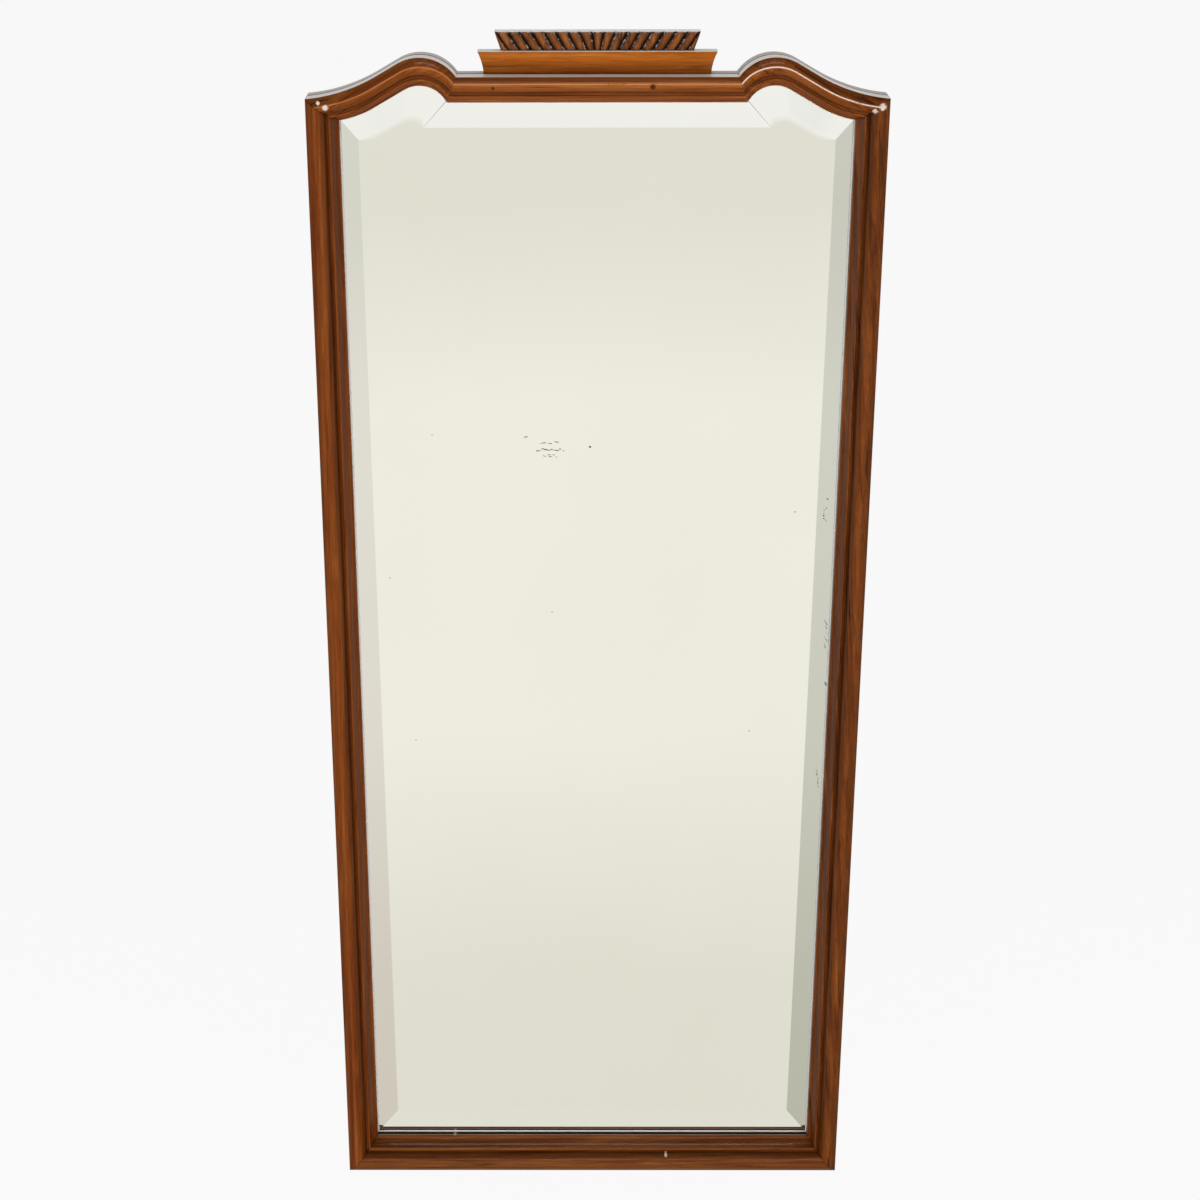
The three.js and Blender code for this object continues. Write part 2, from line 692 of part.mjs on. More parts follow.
// Edges of the reeds, from end to end, at a share of the tier's height. A narrow reed fills each end.
function reedEdges(level) {
  const outermost = REED_COUNT / 2;
  const footStep = (GADROON_FOOT_W / 2 - END_REED_FOOT_W) / fanned(outermost);
  const headStep = (GADROON_TOP_W / 2 - END_REED_HEAD_W) / outermost;
  const inner = Array.from({ length: REED_COUNT + 1 }, (_, i) => {
    const reeds = i - outermost;
    return THREE.MathUtils.lerp(fanned(reeds) * footStep, reeds * headStep, level);
  });
  const end = THREE.MathUtils.lerp(GADROON_FOOT_W, GADROON_TOP_W, level) / 2;
  return [-end, ...inner, end];
}

// One level of the gadrooned tier: a straight back and a reeded front that curves forwards to the head.
function gadroonRing(level) {
  const front = THREE.MathUtils.lerp(GADROON_FOOT_T, CREST_T, Math.sin((level * Math.PI) / 2));
  const edges = reedEdges(level);
  const halfW = edges.at(-1);
  const z = GADROON_Z + GADROON_H * level;
  const ring = [new THREE.Vector3(halfW, -CREST_BACK, z), new THREE.Vector3(-halfW, -CREST_BACK, z)];
  for (let i = 0; i < edges.length - 1; i++) {
    for (let j = i === 0 ? 0 : 1; j <= REED_STEPS; j++) {
      const angle = (j / REED_STEPS) * Math.PI;
      const x = THREE.MathUtils.lerp(edges[i], edges[i + 1], (1 - Math.cos(angle)) / 2);
      ring.push(new THREE.Vector3(x, -front + REED_DEPTH * (1 - Math.sin(angle)), z));
    }
  }
  return ring;
}

function gadroonedTier() {
  const levels = Array.from({ length: REED_ROWS + 1 }, (_, i) => i / REED_ROWS);
  addMesh("gadrooned_crest", cut(loft(levels.map(gadroonRing)), DOWEL_HOLES), carvedWood);
}

function crest() {
  crestBase();
  gadroonedTier();
  for (const side of SIDES) addMesh(`${SIDE_NAME[side]}_crest_dowel`, dowel(side, 0), beech);
}

// ---- Hangers -----------------------------------------------------------------------------------------

function roundBar(radius, length) {
  const geometry = new THREE.CylinderGeometry(radius, radius, length, ROUND_SIDES);
  geometry.rotateZ(Math.PI / 2);
  geometry.translate(0, RING_Y, RING_Z);
  return geometry;
}

// A brass strap with a round lower end, rolled into a barrel at its top.
function hangerStrap(side) {
  const half = STRAP_W / 2;
  const shape = new THREE.Shape();
  shape.moveTo(-half, 0);
  shape.lineTo(-half, half - STRAP_L);
  shape.absarc(0, half - STRAP_L, half, Math.PI, 2 * Math.PI, false);
  shape.lineTo(half, 0);
  const plate = new THREE.ExtrudeGeometry(shape, {
    depth: STRAP_T,
    bevelEnabled: false,
    curveSegments: 2 * BEND_STEPS,
  });
  plate.rotateX(Math.PI / 2);
  plate.translate(0, SEAT_GAP + STRAP_T, RING_Z);
  const strap = join(plate, roundBar(BARREL_R, STRAP_W));
  strap.translate(side * RING_X, 0, 0);
  const bore = roundBar(RING_WIRE_R + RING_CLEARANCE, 2 * STRAP_W);
  bore.translate(side * RING_X, 0, 0);
  const holes = STRAP_SCREWS.filter((place) => place.seat === SIDE_NAME[side]).map(strapScrewHole);
  return cut(strap, [bore, ...holes]);
}

// The ring's centre line in its own plane: a straight bar through the barrel, two legs and a round bow.
function ringLine() {
  const half = RING_W / 2;
  const inner = half - RING_CORNER_R;
  const path = new THREE.Path();
  path.moveTo(-inner, 0);
  path.lineTo(inner, 0);
  path.absarc(inner, -RING_CORNER_R, RING_CORNER_R, Math.PI / 2, 0, true);
  path.lineTo(half, -RING_LEG);
  path.absarc(0, -RING_LEG, half, 0, -Math.PI, true);
  path.lineTo(-half, -RING_CORNER_R);
  path.absarc(-inner, -RING_CORNER_R, RING_CORNER_R, Math.PI, Math.PI / 2, true);
  return path.getPoints(BEND_STEPS).slice(0, -1);
}

function hangingRing(side) {
  const line = ringLine();
  const sections = line.map((point, i) => {
    const before = line[(i + line.length - 1) % line.length];
    const after = line[(i + 1) % line.length];
    const along = after.clone().sub(before).normalize();
    return Array.from({ length: WIRE_SIDES }, (_, j) => {
      const angle = ((j + 0.5) / WIRE_SIDES) * 2 * Math.PI;
      const out = RING_WIRE_R * Math.cos(angle);
      const behind = RING_WIRE_R * Math.sin(angle);
      return new THREE.Vector3(point.x - out * along.y, behind, point.y + out * along.x);
    });
  });
  const geometry = loft(sections, true);
  geometry.translate(side * RING_X, RING_Y, RING_Z);
  return geometry;
}

function hangers() {
  for (const side of SIDES) {
    addMesh(`${SIDE_NAME[side]}_hanger`, hangerStrap(side), brass);
    addMesh(`${SIDE_NAME[side]}_ring`, hangingRing(side), brass);
  }
}

// ---- Assembly ----------------------------------------------------------------------------------------

mouldedFront();
backFrame();
mirrorPlate();
settingBlocks();
backboard();
crest();
hangers();
screws();

export default mirror;
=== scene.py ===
"""A pier mirror: aged bevelled plate in a varnished walnut frame with a two-tier carved crest.

Lengths are written in millimetres, with heights counted from the frame's bottom edge, and become metres in
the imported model's frame when a mesh is made. The mirror faces -Y and +Z is up.
"""

import json
import math
import random

import bmesh
import bpy
from mathutils import Matrix, Vector


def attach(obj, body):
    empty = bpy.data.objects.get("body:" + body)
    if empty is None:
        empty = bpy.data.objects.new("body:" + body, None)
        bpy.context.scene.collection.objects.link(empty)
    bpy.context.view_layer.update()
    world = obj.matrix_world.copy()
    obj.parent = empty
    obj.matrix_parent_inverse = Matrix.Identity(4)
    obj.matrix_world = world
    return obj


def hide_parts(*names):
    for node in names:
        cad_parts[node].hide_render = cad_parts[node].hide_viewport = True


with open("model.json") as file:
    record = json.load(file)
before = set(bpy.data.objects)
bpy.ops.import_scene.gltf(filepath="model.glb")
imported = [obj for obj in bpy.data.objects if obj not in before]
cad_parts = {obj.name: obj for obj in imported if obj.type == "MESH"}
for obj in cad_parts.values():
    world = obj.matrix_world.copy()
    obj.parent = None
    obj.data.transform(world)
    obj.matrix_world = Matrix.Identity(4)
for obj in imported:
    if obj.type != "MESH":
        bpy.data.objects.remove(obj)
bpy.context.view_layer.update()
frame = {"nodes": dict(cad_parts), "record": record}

# ---- Sizes of the frame, as its solids have them -------------------------------------------------

MM = 0.001
WIDTH = 610
CORNER_Z = 1338.5
FLAT_RISE = 22.5
ARCH_RISE = 42.5
ARCH_INSET = 120
OUTER_ARCH_R = 46
OUTER_FLANK = 25
FLANK_SLOPE = math.radians(30)

STILE_W = 35
STILE_FOOT_W = 34.3
STILE_HEAD_W = 32.2
RAIL_W = 35
FLAT_W = 31
ARCH_W = 33.4
SIGHT_CORNER_DROP = 27
SIGHT_ARCH_SHIFT = 2
SIGHT_ARCH_R = 32
SIGHT_FLANK = 37.5

LIP_BACK = 7.0
LIP_FRONT = 12.5
LIP_BLOCK_W = 8.2
HOLLOW_W = 6.6
HOLLOW_FRONT = 15.5
BEAD_W = 9.3
BEAD_CENTRE_FRONT = 29.4
BEAD_R = 1.7
QUIRK_W = 13.6
QUIRK_FRONT = 29.6
SWELL_W = 14.6
SWELL_FRONT = 38
TURN_W = 18.5
RIDGE_W = 25
RIDGE_FRONT = 43.8
RIDGE_ROUND = 3
RIDGE_DROP = 0.7
EDGE_FRONT = 38.8
EDGE_ROUND = 2.4
BACK_T = 17.4
JOINT = 17.6

REBATE_W = 8.5
RECESS_W = 17
RECESS_T = 3.5
PLATE_BACK = 3.6
PLATE_EDGE_T = 2.2
PLATE_T = 5
PLATE_LAP = 7
PLATE_MARGIN = 1.5  # flat margin of the bevel beside the sight edge
BEVEL_SIDE_HEAD = 19.8
BEVEL_SIDE_FOOT = 26.3
BEVEL_TOP = 27
BEVEL_BOTTOM = 34
BEVEL_ARCH_DROP = 34.5
BEVEL_ARCH_SHIFT = 10
BEVEL_ARCH_R = 14.8
BEVEL_FLANK = 27
BEVEL_CORNER_DROP = 21.6

CREST_T = 17.6
CREST_BACK = 0.6
CREST_FOOT_W = 237.8
CREST_TOP_W = 250.8
CREST_H = 22.8
CREST_COVE = 1.2
GADROON_TOP_W = 215
GADROON_FOOT_W = 201.8
GADROON_H = 20
GADROON_FOOT_T = 13.2
REED_COUNT = 17
REED_DEPTH = 3
REED_LEAN = 0.79
REED_LEAN_REACH = 1.4
END_REED_HEAD_W = 1
END_REED_FOOT_W = 7.5
SEAT_GAP = 0.1

RING_Z = 1120
RING_X = 294.5
RING_Y = 3.5
RING_WIRE_R = 1.4
RING_W = 17
RING_CORNER_R = 3
RING_LEG = 9

MITRE_GAP = 0.2
ARRIS_R = 0.5
GLEAM_SHIFT = 0.6  # painted highlight beside the ridge, towards the sight edge
GLEAM_REACH = 1.1
LIP_GLEAM_REACH = 0.9
JOINT_SHADOW = 2.2
TOP_FACE_DEPTH = 0.3  # of the crest's top faces, for their dust and painted sheen
OUTER_FACE_SHARE = 0.9995  # of a member's width, from which a point is on its outer face
MITRE_DIRT_REACH = 1.3
LIP_FACE = LIP_FRONT - ARRIS_R - LIP_BACK  # inner face of the lip, coloured near-black against the glass

# ---- Camera: the photograph's viewing angle ------------------------------------------------------

FRAME_PX = 1200
SENSOR_MM = 36
FOCAL_PX = 2333
PRINCIPAL_PX = 558.2
CAMERA_AT = (-32.9, -2483.2, 1776.1)
CAMERA_PITCH = math.radians(22.27)
CAMERA_YAW = math.radians(0.208)
CAMERA_ROLL = math.radians(-0.088)

# ---- Fineness ------------------------------------------------------------------------------------

ARCH_STEPS = 48
HOLLOW_STEPS = 24
CURVE_STEPS = 14
ARRIS_STEPS = 3
LENGTH_STEPS = 40

HALF_W = WIDTH / 2
SIGHT_FOOT_X = HALF_W - STILE_FOOT_W
SIGHT_HEAD_X = HALF_W - STILE_HEAD_W
FLAT_Z = CORNER_Z + FLAT_RISE
ARCH_X = HALF_W - ARCH_INSET
ARCH_Z = CORNER_Z + ARCH_RISE
CREST_Z = FLAT_Z + SEAT_GAP
GADROON_Z = CREST_Z + CREST_H + SEAT_GAP


def lerp(a, b, t):
    return a + (b - a) * t


def metres(point):
    x, y, z = point
    return (x * MM, y * MM, (z - RING_Z) * MM)


# ---- Meshes --------------------------------------------------------------------------------------


def piece(name, points, faces, material, node, body="mirror_body", sharp_degrees=32, grain=None):
    """A closed mesh from millimetre points that stands for a CAD node."""
    mesh = bpy.data.meshes.new(name)
    mesh.from_pydata([metres(p) for p in points], [], faces)
    if grain:
        layer = mesh.attributes.new("grain", "FLOAT_VECTOR", "POINT")
        layer.data.foreach_set("vector", [value * MM for vector in grain for value in vector])
    shell = bmesh.new()
    shell.from_mesh(mesh)
    bmesh.ops.recalc_face_normals(shell, faces=shell.faces)
    shell.to_mesh(mesh)
    shell.free()
    mesh.polygons.foreach_set("use_smooth", [True] * len(mesh.polygons))
    mesh.set_sharp_from_angle(angle=math.radians(sharp_degrees))
    made = bpy.data.objects.new(name, mesh)
    bpy.context.collection.objects.link(made)
    made.data.materials.append(material)
    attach(made, body)
    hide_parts(node)
    return made


def loft(rings, endless=False):
    """Points and faces of a skin over rings that have as many points each, capped unless endless."""
    sides = len(rings[0])
    points = [point for ring in rings for point in ring]
    faces = []
    spans = len(rings) if endless else len(rings) - 1
    for i in range(spans):
        here, there = i * sides, (i + 1) % len(rings) * sides
        for j in range(sides):
            k = (j + 1) % sides
            faces.append((here + j, here + k, there + k, there + j))
    if not endless:
        last = (len(rings) - 1) * sides
        faces.append(tuple(reversed(range(sides))))
        faces.append(tuple(range(last, last + sides)))
    return points, faces


def running_lengths(points):
    """Distance along a polyline at each of its points."""
    lengths = [0.0]
    for a, b in zip(points, points[1:]):
        lengths.append(lengths[-1] + math.dist(a, b))
    return lengths


# ---- Outlines ------------------------------------------------------------------------------------


def ogee(flat_z, crown_x, crown_z, radius, flank, corner_x, corner_z):
    """Half of an ogee top as (x, z) points: arch, straight flank, and a hollow that ends on the corner."""
    centre_z = crown_z - radius
    valley_angle = math.pi - math.asin((flat_z - centre_z) / radius)
    flank_angle = math.pi / 2 - FLANK_SLOPE
    points = []
    for i in range(ARCH_STEPS + 1):
        angle = lerp(valley_angle, flank_angle, i / ARCH_STEPS)
        points.append((crown_x + radius * math.cos(angle), centre_z + radius * math.sin(angle)))
    down = Vector((math.cos(FLANK_SLOPE), -math.sin(FLANK_SLOPE)))
    up = Vector((math.sin(FLANK_SLOPE), math.cos(FLANK_SLOPE)))
    start = Vector(points[-1]) + down * flank
    chord = Vector((corner_x, corner_z)) - start
    hollow_r = chord.length_squared / (2 * chord.dot(up))
    sweep = 2 * math.atan2(chord.dot(up), chord.dot(down))
    for i in range(HOLLOW_STEPS + 1):
        angle = sweep * i / HOLLOW_STEPS
        at = start + down * hollow_r * math.sin(angle) + up * hollow_r * (1 - math.cos(angle))
        points.append((at.x, at.y))
    return points


SIGHT_FLAT_Z = FLAT_Z - FLAT_W
SIGHT_CROWN_X = ARCH_X + SIGHT_ARCH_SHIFT
SIGHT_CROWN_Z = ARCH_Z - ARCH_W
SIGHT_CORNER_Z = CORNER_Z - SIGHT_CORNER_DROP


def shoulder_stations():
    """Lines across a shoulder from valley to corner, as (sight point, outer point, square width)."""
    outer = ogee(FLAT_Z, ARCH_X, ARCH_Z, OUTER_ARCH_R, OUTER_FLANK, HALF_W, CORNER_Z)
    sight = ogee(
        SIGHT_FLAT_Z, SIGHT_CROWN_X, SIGHT_CROWN_Z, SIGHT_ARCH_R, SIGHT_FLANK, SIGHT_HEAD_X, SIGHT_CORNER_Z
    )
    crown = ARCH_STEPS / 2
    last = len(sight) - 1
    stations = []
    for i, (inner, far) in enumerate(zip(sight, outer)):
        if i < crown:
            width = lerp(FLAT_W, ARCH_W, i / crown)
        else:
            width = lerp(ARCH_W, STILE_W, (i - crown) / (last - crown))
        stations.append((inner, far, width))
    return stations


SHOULDER = shoulder_stations()
VALLEY = SHOULDER[0]
TOP_CORNER = SHOULDER[-1]
BOTTOM_CORNER = ((SIGHT_FOOT_X, RAIL_W), (HALF_W, 0), STILE_W)


def across(station, w, side):
    """(x, z) on a station at the distance w from the sight edge."""
    sight, outer, width = station
    if w <= RIDGE_W:
        share = w / width
    else:
        share = lerp(RIDGE_W / width, 1, (w - RIDGE_W) / (STILE_W - RIDGE_W))
    return side * lerp(sight[0], outer[0], share), lerp(sight[1], outer[1], share)


def ring_at(station, section, side):
    ring = []
    for w, depth in section:
        x, z = across(station, w, side)
        ring.append((x, -depth, z))
    return ring


def eased(ring, following):
    """An end ring drawn back from its mitre by half the gap."""
    moved = []
    for point, beyond in zip(ring, following):
        step = (Vector(beyond) - Vector(point)).normalized()
        moved.append(tuple(Vector(point) + step * MITRE_GAP / 2))
    return moved


def straight_rings(first, last):
    """Rings from the first to the last, evenly spaced."""
    rings = []
    for i in range(LENGTH_STEPS + 1):
        share = i / LENGTH_STEPS
        rings.append([tuple(Vector(a).lerp(Vector(b), share)) for a, b in zip(first, last)])
    return rings


def outline(w, depth):
    """The frame's opening as one flat ring, widened by w from the sight edge."""
    stations = [BOTTOM_CORNER] + SHOULDER[::-1]
    right = [across(station, w, 1) for station in stations]
    left = [across(station, w, -1) for station in stations][::-1]
    return [(x, -depth, z) for x, z in right + left]


# ---- Sections ------------------------------------------------------------------------------------


def bezier(points, steps=CURVE_STEPS):
    """Points on a Bezier curve of any degree."""
    curve = []
    for i in range(steps + 1):
        level = [Vector(p) for p in points]
        while len(level) > 1:
            level = [a.lerp(b, i / steps) for a, b in zip(level, level[1:])]
        curve.append(tuple(level[0]))
    return curve


def arc(centre, radius, start, end, steps):
    return [
        (
            centre[0] + radius * math.cos(lerp(start, end, i / steps)),
            centre[1] + radius * math.sin(lerp(start, end, i / steps)),
        )
        for i in range(steps + 1)
    ]


def moulding_section():
    """(w, depth) points round the moulding: lip, hollow, bead, quirk, swell, ridge, edge and back."""
    lip = arc((ARRIS_R, LIP_FRONT - ARRIS_R), ARRIS_R, math.pi, math.pi / 2, ARRIS_STEPS)
    hollow = bezier(
        [lip[-1], (HOLLOW_W, HOLLOW_FRONT), (BEAD_W - BEAD_R, BEAD_CENTRE_FRONT)]
    )
    bead = arc((BEAD_W, BEAD_CENTRE_FRONT), BEAD_R, math.pi, math.pi / 9, CURVE_STEPS)
    swell = bezier(
        [
            (QUIRK_W, QUIRK_FRONT),
            (SWELL_W, SWELL_FRONT),
            (TURN_W, RIDGE_FRONT - RIDGE_DROP),
            (RIDGE_W, RIDGE_FRONT),
        ]
    )
    outer = bezier(
        [
            (RIDGE_W, RIDGE_FRONT),
            (RIDGE_W + RIDGE_ROUND, RIDGE_FRONT - RIDGE_DROP),
            (STILE_W - EDGE_ROUND, EDGE_FRONT + EDGE_ROUND),
            (STILE_W, EDGE_FRONT),
        ]
    )
    back = [
        (STILE_W, JOINT + ARRIS_R),
        (STILE_W - ARRIS_R, JOINT),
        (LIP_BLOCK_W, JOINT),
        (LIP_BLOCK_W, LIP_BACK),
    ]
    return [(0, LIP_BACK)] + lip + hollow[1:] + bead[1:] + swell + outer[1:] + back


JOINT_BEVEL = 1.2  # broken arris of the back frame, which leaves a dark line at the joint


def joint_run():
    """Distance round the moulding's section from its start to the joint with the back frame."""
    section = moulding_section()
    return running_lengths(section)[section.index((STILE_W, JOINT + ARRIS_R))]


JOINT_RUN = joint_run()


def back_section():
    """(w, depth) points round the back frame, with its rebate, the board's recess and its arrises."""
    return [
        (REBATE_W, RECESS_T),
        (REBATE_W, BACK_T),
        (STILE_W - JOINT_BEVEL, BACK_T),
        (STILE_W, BACK_T - JOINT_BEVEL),
        (STILE_W, ARRIS_R),
        (STILE_W - ARRIS_R / 2, ARRIS_R / 4),
        (STILE_W - ARRIS_R, 0),
        (RECESS_W + ARRIS_R, 0),
        (RECESS_W, ARRIS_R),
        (RECESS_W, RECESS_T),
    ]


# ---- Shader helpers ------------------------------------------------------------------------------


def srgb(red, green, blue):
    """Linear colour with alpha from 0-255 screen values."""
    linear = []
    for value in (red, green, blue):
        share = value / 255
        linear.append(share / 12.92 if share <= 0.04045 else ((share + 0.055) / 1.055) ** 2.4)
    return (*linear, 1.0)


def wood_tones(dark, middle, light, vein):
    return {"dark": srgb(*dark), "middle": srgb(*middle), "light": srgb(*light), "vein": srgb(*vein)}


def add_node(tree, kind, inputs=None, **settings):
    """A shader node with its settings and inputs. An input that is a socket gets linked."""
    made = tree.nodes.new(kind)
    for key, value in settings.items():
        setattr(made, key, value)
    for key, value in (inputs or {}).items():
        if isinstance(value, bpy.types.NodeSocket):
            tree.links.new(value, made.inputs[key])
        else:
            made.inputs[key].default_value = value
    return made


def ramp(tree, fac, stops):
    """A colour ramp. Stops are (position, linear colour or grey value)."""
    made = add_node(tree, "ShaderNodeValToRGB", {"Fac": fac})
    elements = made.color_ramp.elements
    while len(elements) < len(stops):
        elements.new(1.0)
    for element, (position, colour) in zip(elements, stops):
        element.position = position
        element.color = colour if isinstance(colour, tuple) else (colour, colour, colour, 1.0)
    return made.outputs["Color"]


def math_node(tree, operation, a, b=0.0, clamp=False):
    return add_node(tree, "ShaderNodeMath", {0: a, 1: b}, operation=operation, use_clamp=clamp).outputs[0]


def product(tree, a, b):
    return math_node(tree, "MULTIPLY", a, b)


def mixed(tree, fac, a, b, blend="MIX"):
    made = add_node(tree, "ShaderNodeMix", data_type="RGBA", blend_type=blend)
    for key, value in ((0, fac), (6, a), (7, b)):
        if isinstance(value, bpy.types.NodeSocket):
            tree.links.new(value, made.inputs[key])
        else:
            made.inputs[key].default_value = value
    return made.outputs[2]


def stretched(tree, vector, scale, offset=(0, 0, 0)):
    made = add_node(tree, "ShaderNodeMapping", {"Vector": vector, "Scale": scale, "Location": offset})
    return made.outputs["Vector"]


def noise(tree, vector, detail=4.0, roughness=0.55, distortion=0.0):
    inputs = {"Vector": vector, "Scale": 1.0, "Detail": detail}
    inputs.update({"Roughness": roughness, "Distortion": distortion})
    return add_node(tree, "ShaderNodeTexNoise", inputs).outputs["Fac"]


def object_place(tree):
    return add_node(tree, "ShaderNodeTexCoord").outputs["Object"]


def axes(tree, vector):
    """The X, Y and Z of a vector."""
    parts = add_node(tree, "ShaderNodeSeparateXYZ", {"Vector": vector})
    return [parts.outputs[axis] for axis in "XYZ"]


def new_material(name):
    material = bpy.data.materials.new(name)
    material.use_nodes = True
    tree = material.node_tree
    return material, tree, tree.nodes["Principled BSDF"]


# ---- Wood ----------------------------------------------------------------------------------------


def attribute_vector(tree, name):
    return add_node(tree, "ShaderNodeAttribute", attribute_name=name).outputs["Vector"]


def object_vector(tree, rotation=(0, 0, 0), vector=None):
    """Object coordinates, or another vector, turned so that their first axis runs along the grain."""
    inputs = {"Vector": vector or object_place(tree), "Rotation": rotation}
    turned = add_node(tree, "ShaderNodeVectorRotate", inputs, rotation_type="EULER_XYZ")
    return turned.outputs["Vector"]


# Waves to the metre, along the grain and across it
BROAD_SCALE = (4, 95, 95)
FIGURE_SCALE = (5, 120, 120)
FIBRE_SCALE = (26, 1200, 1200)
FIBRE_RELIEF = 0.0004


def wood_pattern(tree, vector, seed, dark, middle, light, vein):
    """Colour of sawn wood with its grain along the vector's first axis, its fine fibres, and its waves."""
    broad = noise(tree, stretched(tree, vector, BROAD_SCALE, (seed, seed * 2, 0)), 5, 0.62, 0.9)
    body = ramp(tree, broad, [(0.3, dark), (0.5, middle), (0.72, light)])
    figure = noise(tree, stretched(tree, vector, FIGURE_SCALE, (seed * 3, 0, seed)), 4, 0.6, 1.4)
    line = ramp(tree, figure, [(0.3, 0.85), (0.4, 0.25), (0.46, 0.0)])
    veined = mixed(tree, line, body, vein)
    fibre = noise(tree, stretched(tree, vector, FIBRE_SCALE, (seed, seed, seed)), 3, 0.7)
    pores = ramp(tree, fibre, [(0.36, 0.6), (0.5, 1.0), (1.0, 1.15)])
    return mixed(tree, 1.0, veined, pores, "MULTIPLY"), fibre, broad


def varnish(tree, shader, colour, fibre, broad, roughness=0.32, coat=0.14, bump=0.12):
    tree.links.new(colour, shader.inputs["Base Color"])
    uneven = ramp(tree, broad, [(0.2, roughness - 0.06), (0.8, roughness + 0.1)])
    tree.links.new(uneven, shader.inputs["Roughness"])
    shader.inputs["Specular IOR Level"].default_value = 0.05
    shader.inputs["Coat Weight"].default_value = coat
    shader.inputs["Coat Roughness"].default_value = 0.13
    relief = {"Height": fibre, "Strength": bump, "Distance": FIBRE_RELIEF}
    lifted = add_node(tree, "ShaderNodeBump", relief)
    tree.links.new(lifted.outputs["Normal"], shader.inputs["Normal"])


def above(tree, value, level):
    return math_node(tree, "GREATER_THAN", value, level)


def within(tree, value, centre, reach):
    """1 at the centre, falling to 0 at the reach."""
    off = math_node(tree, "ABSOLUTE", math_node(tree, "SUBTRACT", value, centre))
    return math_node(tree, "SUBTRACT", 1.0, math_node(tree, "DIVIDE", off, reach), clamp=True)


def patchy(tree, vector, scale, low, high, seed=0.0):
    """Mask of irregular patches: 0 below the low value of a noise, 1 above the high one."""
    cloud = noise(tree, stretched(tree, vector, scale, (seed, 0, seed)), 4, 0.6)
    return ramp(tree, cloud, [(low, 0.0), (high, 1.0)])


MARK_SCALE = (700, 700, 700)


def marked(tree, colour, marks):
    """Wear marks with ragged edges, each (x, z, reach, tone) in the frame's millimetres."""
    place = object_place(tree)
    at_x, _, at_z = axes(tree, place)
    ragged = noise(tree, stretched(tree, place, MARK_SCALE), 3, 0.7)
    for x, z, reach, tone in marks:
        across_x = within(tree, at_x, x * MM, reach * MM)
        across_z = within(tree, at_z, (z - RING_Z) * MM, reach * MM)
        near = product(tree, across_x, across_z)
        spot_mask = ramp(tree, product(tree, near, ragged), [(0.16, 0.0), (0.3, 1.0)])
        colour = mixed(tree, spot_mask, colour, tone)
    return colour


STILE_TONES = wood_tones((104, 44, 6), (124, 60, 14), (146, 80, 30), (76, 32, 4))
DARK_STILE_TONES = wood_tones((84, 38, 6), (116, 58, 16), (142, 78, 32), (48, 24, 6))
RAIL_TONES = wood_tones((122, 54, 10), (148, 76, 22), (172, 102, 44), (96, 40, 4))
BOTTOM_TONES = wood_tones((88, 40, 10), (116, 62, 22), (142, 86, 40), (58, 28, 8))
SHOULDER_TONES = wood_tones((112, 50, 8), (142, 72, 18), (168, 96, 38), (62, 28, 4))
CREST_TONES = wood_tones((150, 72, 8), (172, 92, 20), (190, 112, 38), (128, 58, 6))
# Pale top faces: dust together with a painted sheen of the pale surroundings they face
TOP_DUST_AND_SHEEN = srgb(226, 222, 216)
BACK_DUST_AND_SHEEN = srgb(190, 176, 168)
# Near-black of the dirt along the mitres, of the painted shadow beside the joint and of the lip's inner
# face
GRIME_AND_SHADE = srgb(26, 18, 12)
SCUFF = srgb(226, 210, 196)
UPRIGHT = (0, math.pi / 2, 0)  # turns the grain upright


def shade_over_width(band):
    """Stops of brightness over the width: painted shade darkens the hollow, the quirk and the band beyond
    the ridge, and a painted highlight lightens the bead and the ridge.
    """
    return [
        (0.0, 1.05),
        (0.08, 0.95),
        (HOLLOW_W / STILE_W - 0.02, 0.72),
        ((BEAD_W - BEAD_R) / STILE_W, 0.85),
        (BEAD_W / STILE_W, 1.15),
        (QUIRK_W / STILE_W - 0.03, 0.62),
        (QUIRK_W / STILE_W + 0.01, 0.5),
        (TURN_W / STILE_W, 0.95),
        (RIDGE_W / STILE_W, 1.1),
        (RIDGE_W / STILE_W + 0.05, band),
        (1.0, band * 0.9),
    ]


PLAIN_BAND = 0.9  # painted shade: brightness of the band beyond the ridge
DARK_BAND = 0.62  # the same, a deeper painted shade, on the members that have a top face
GLEAM_SCALE = (45, 0, 0)


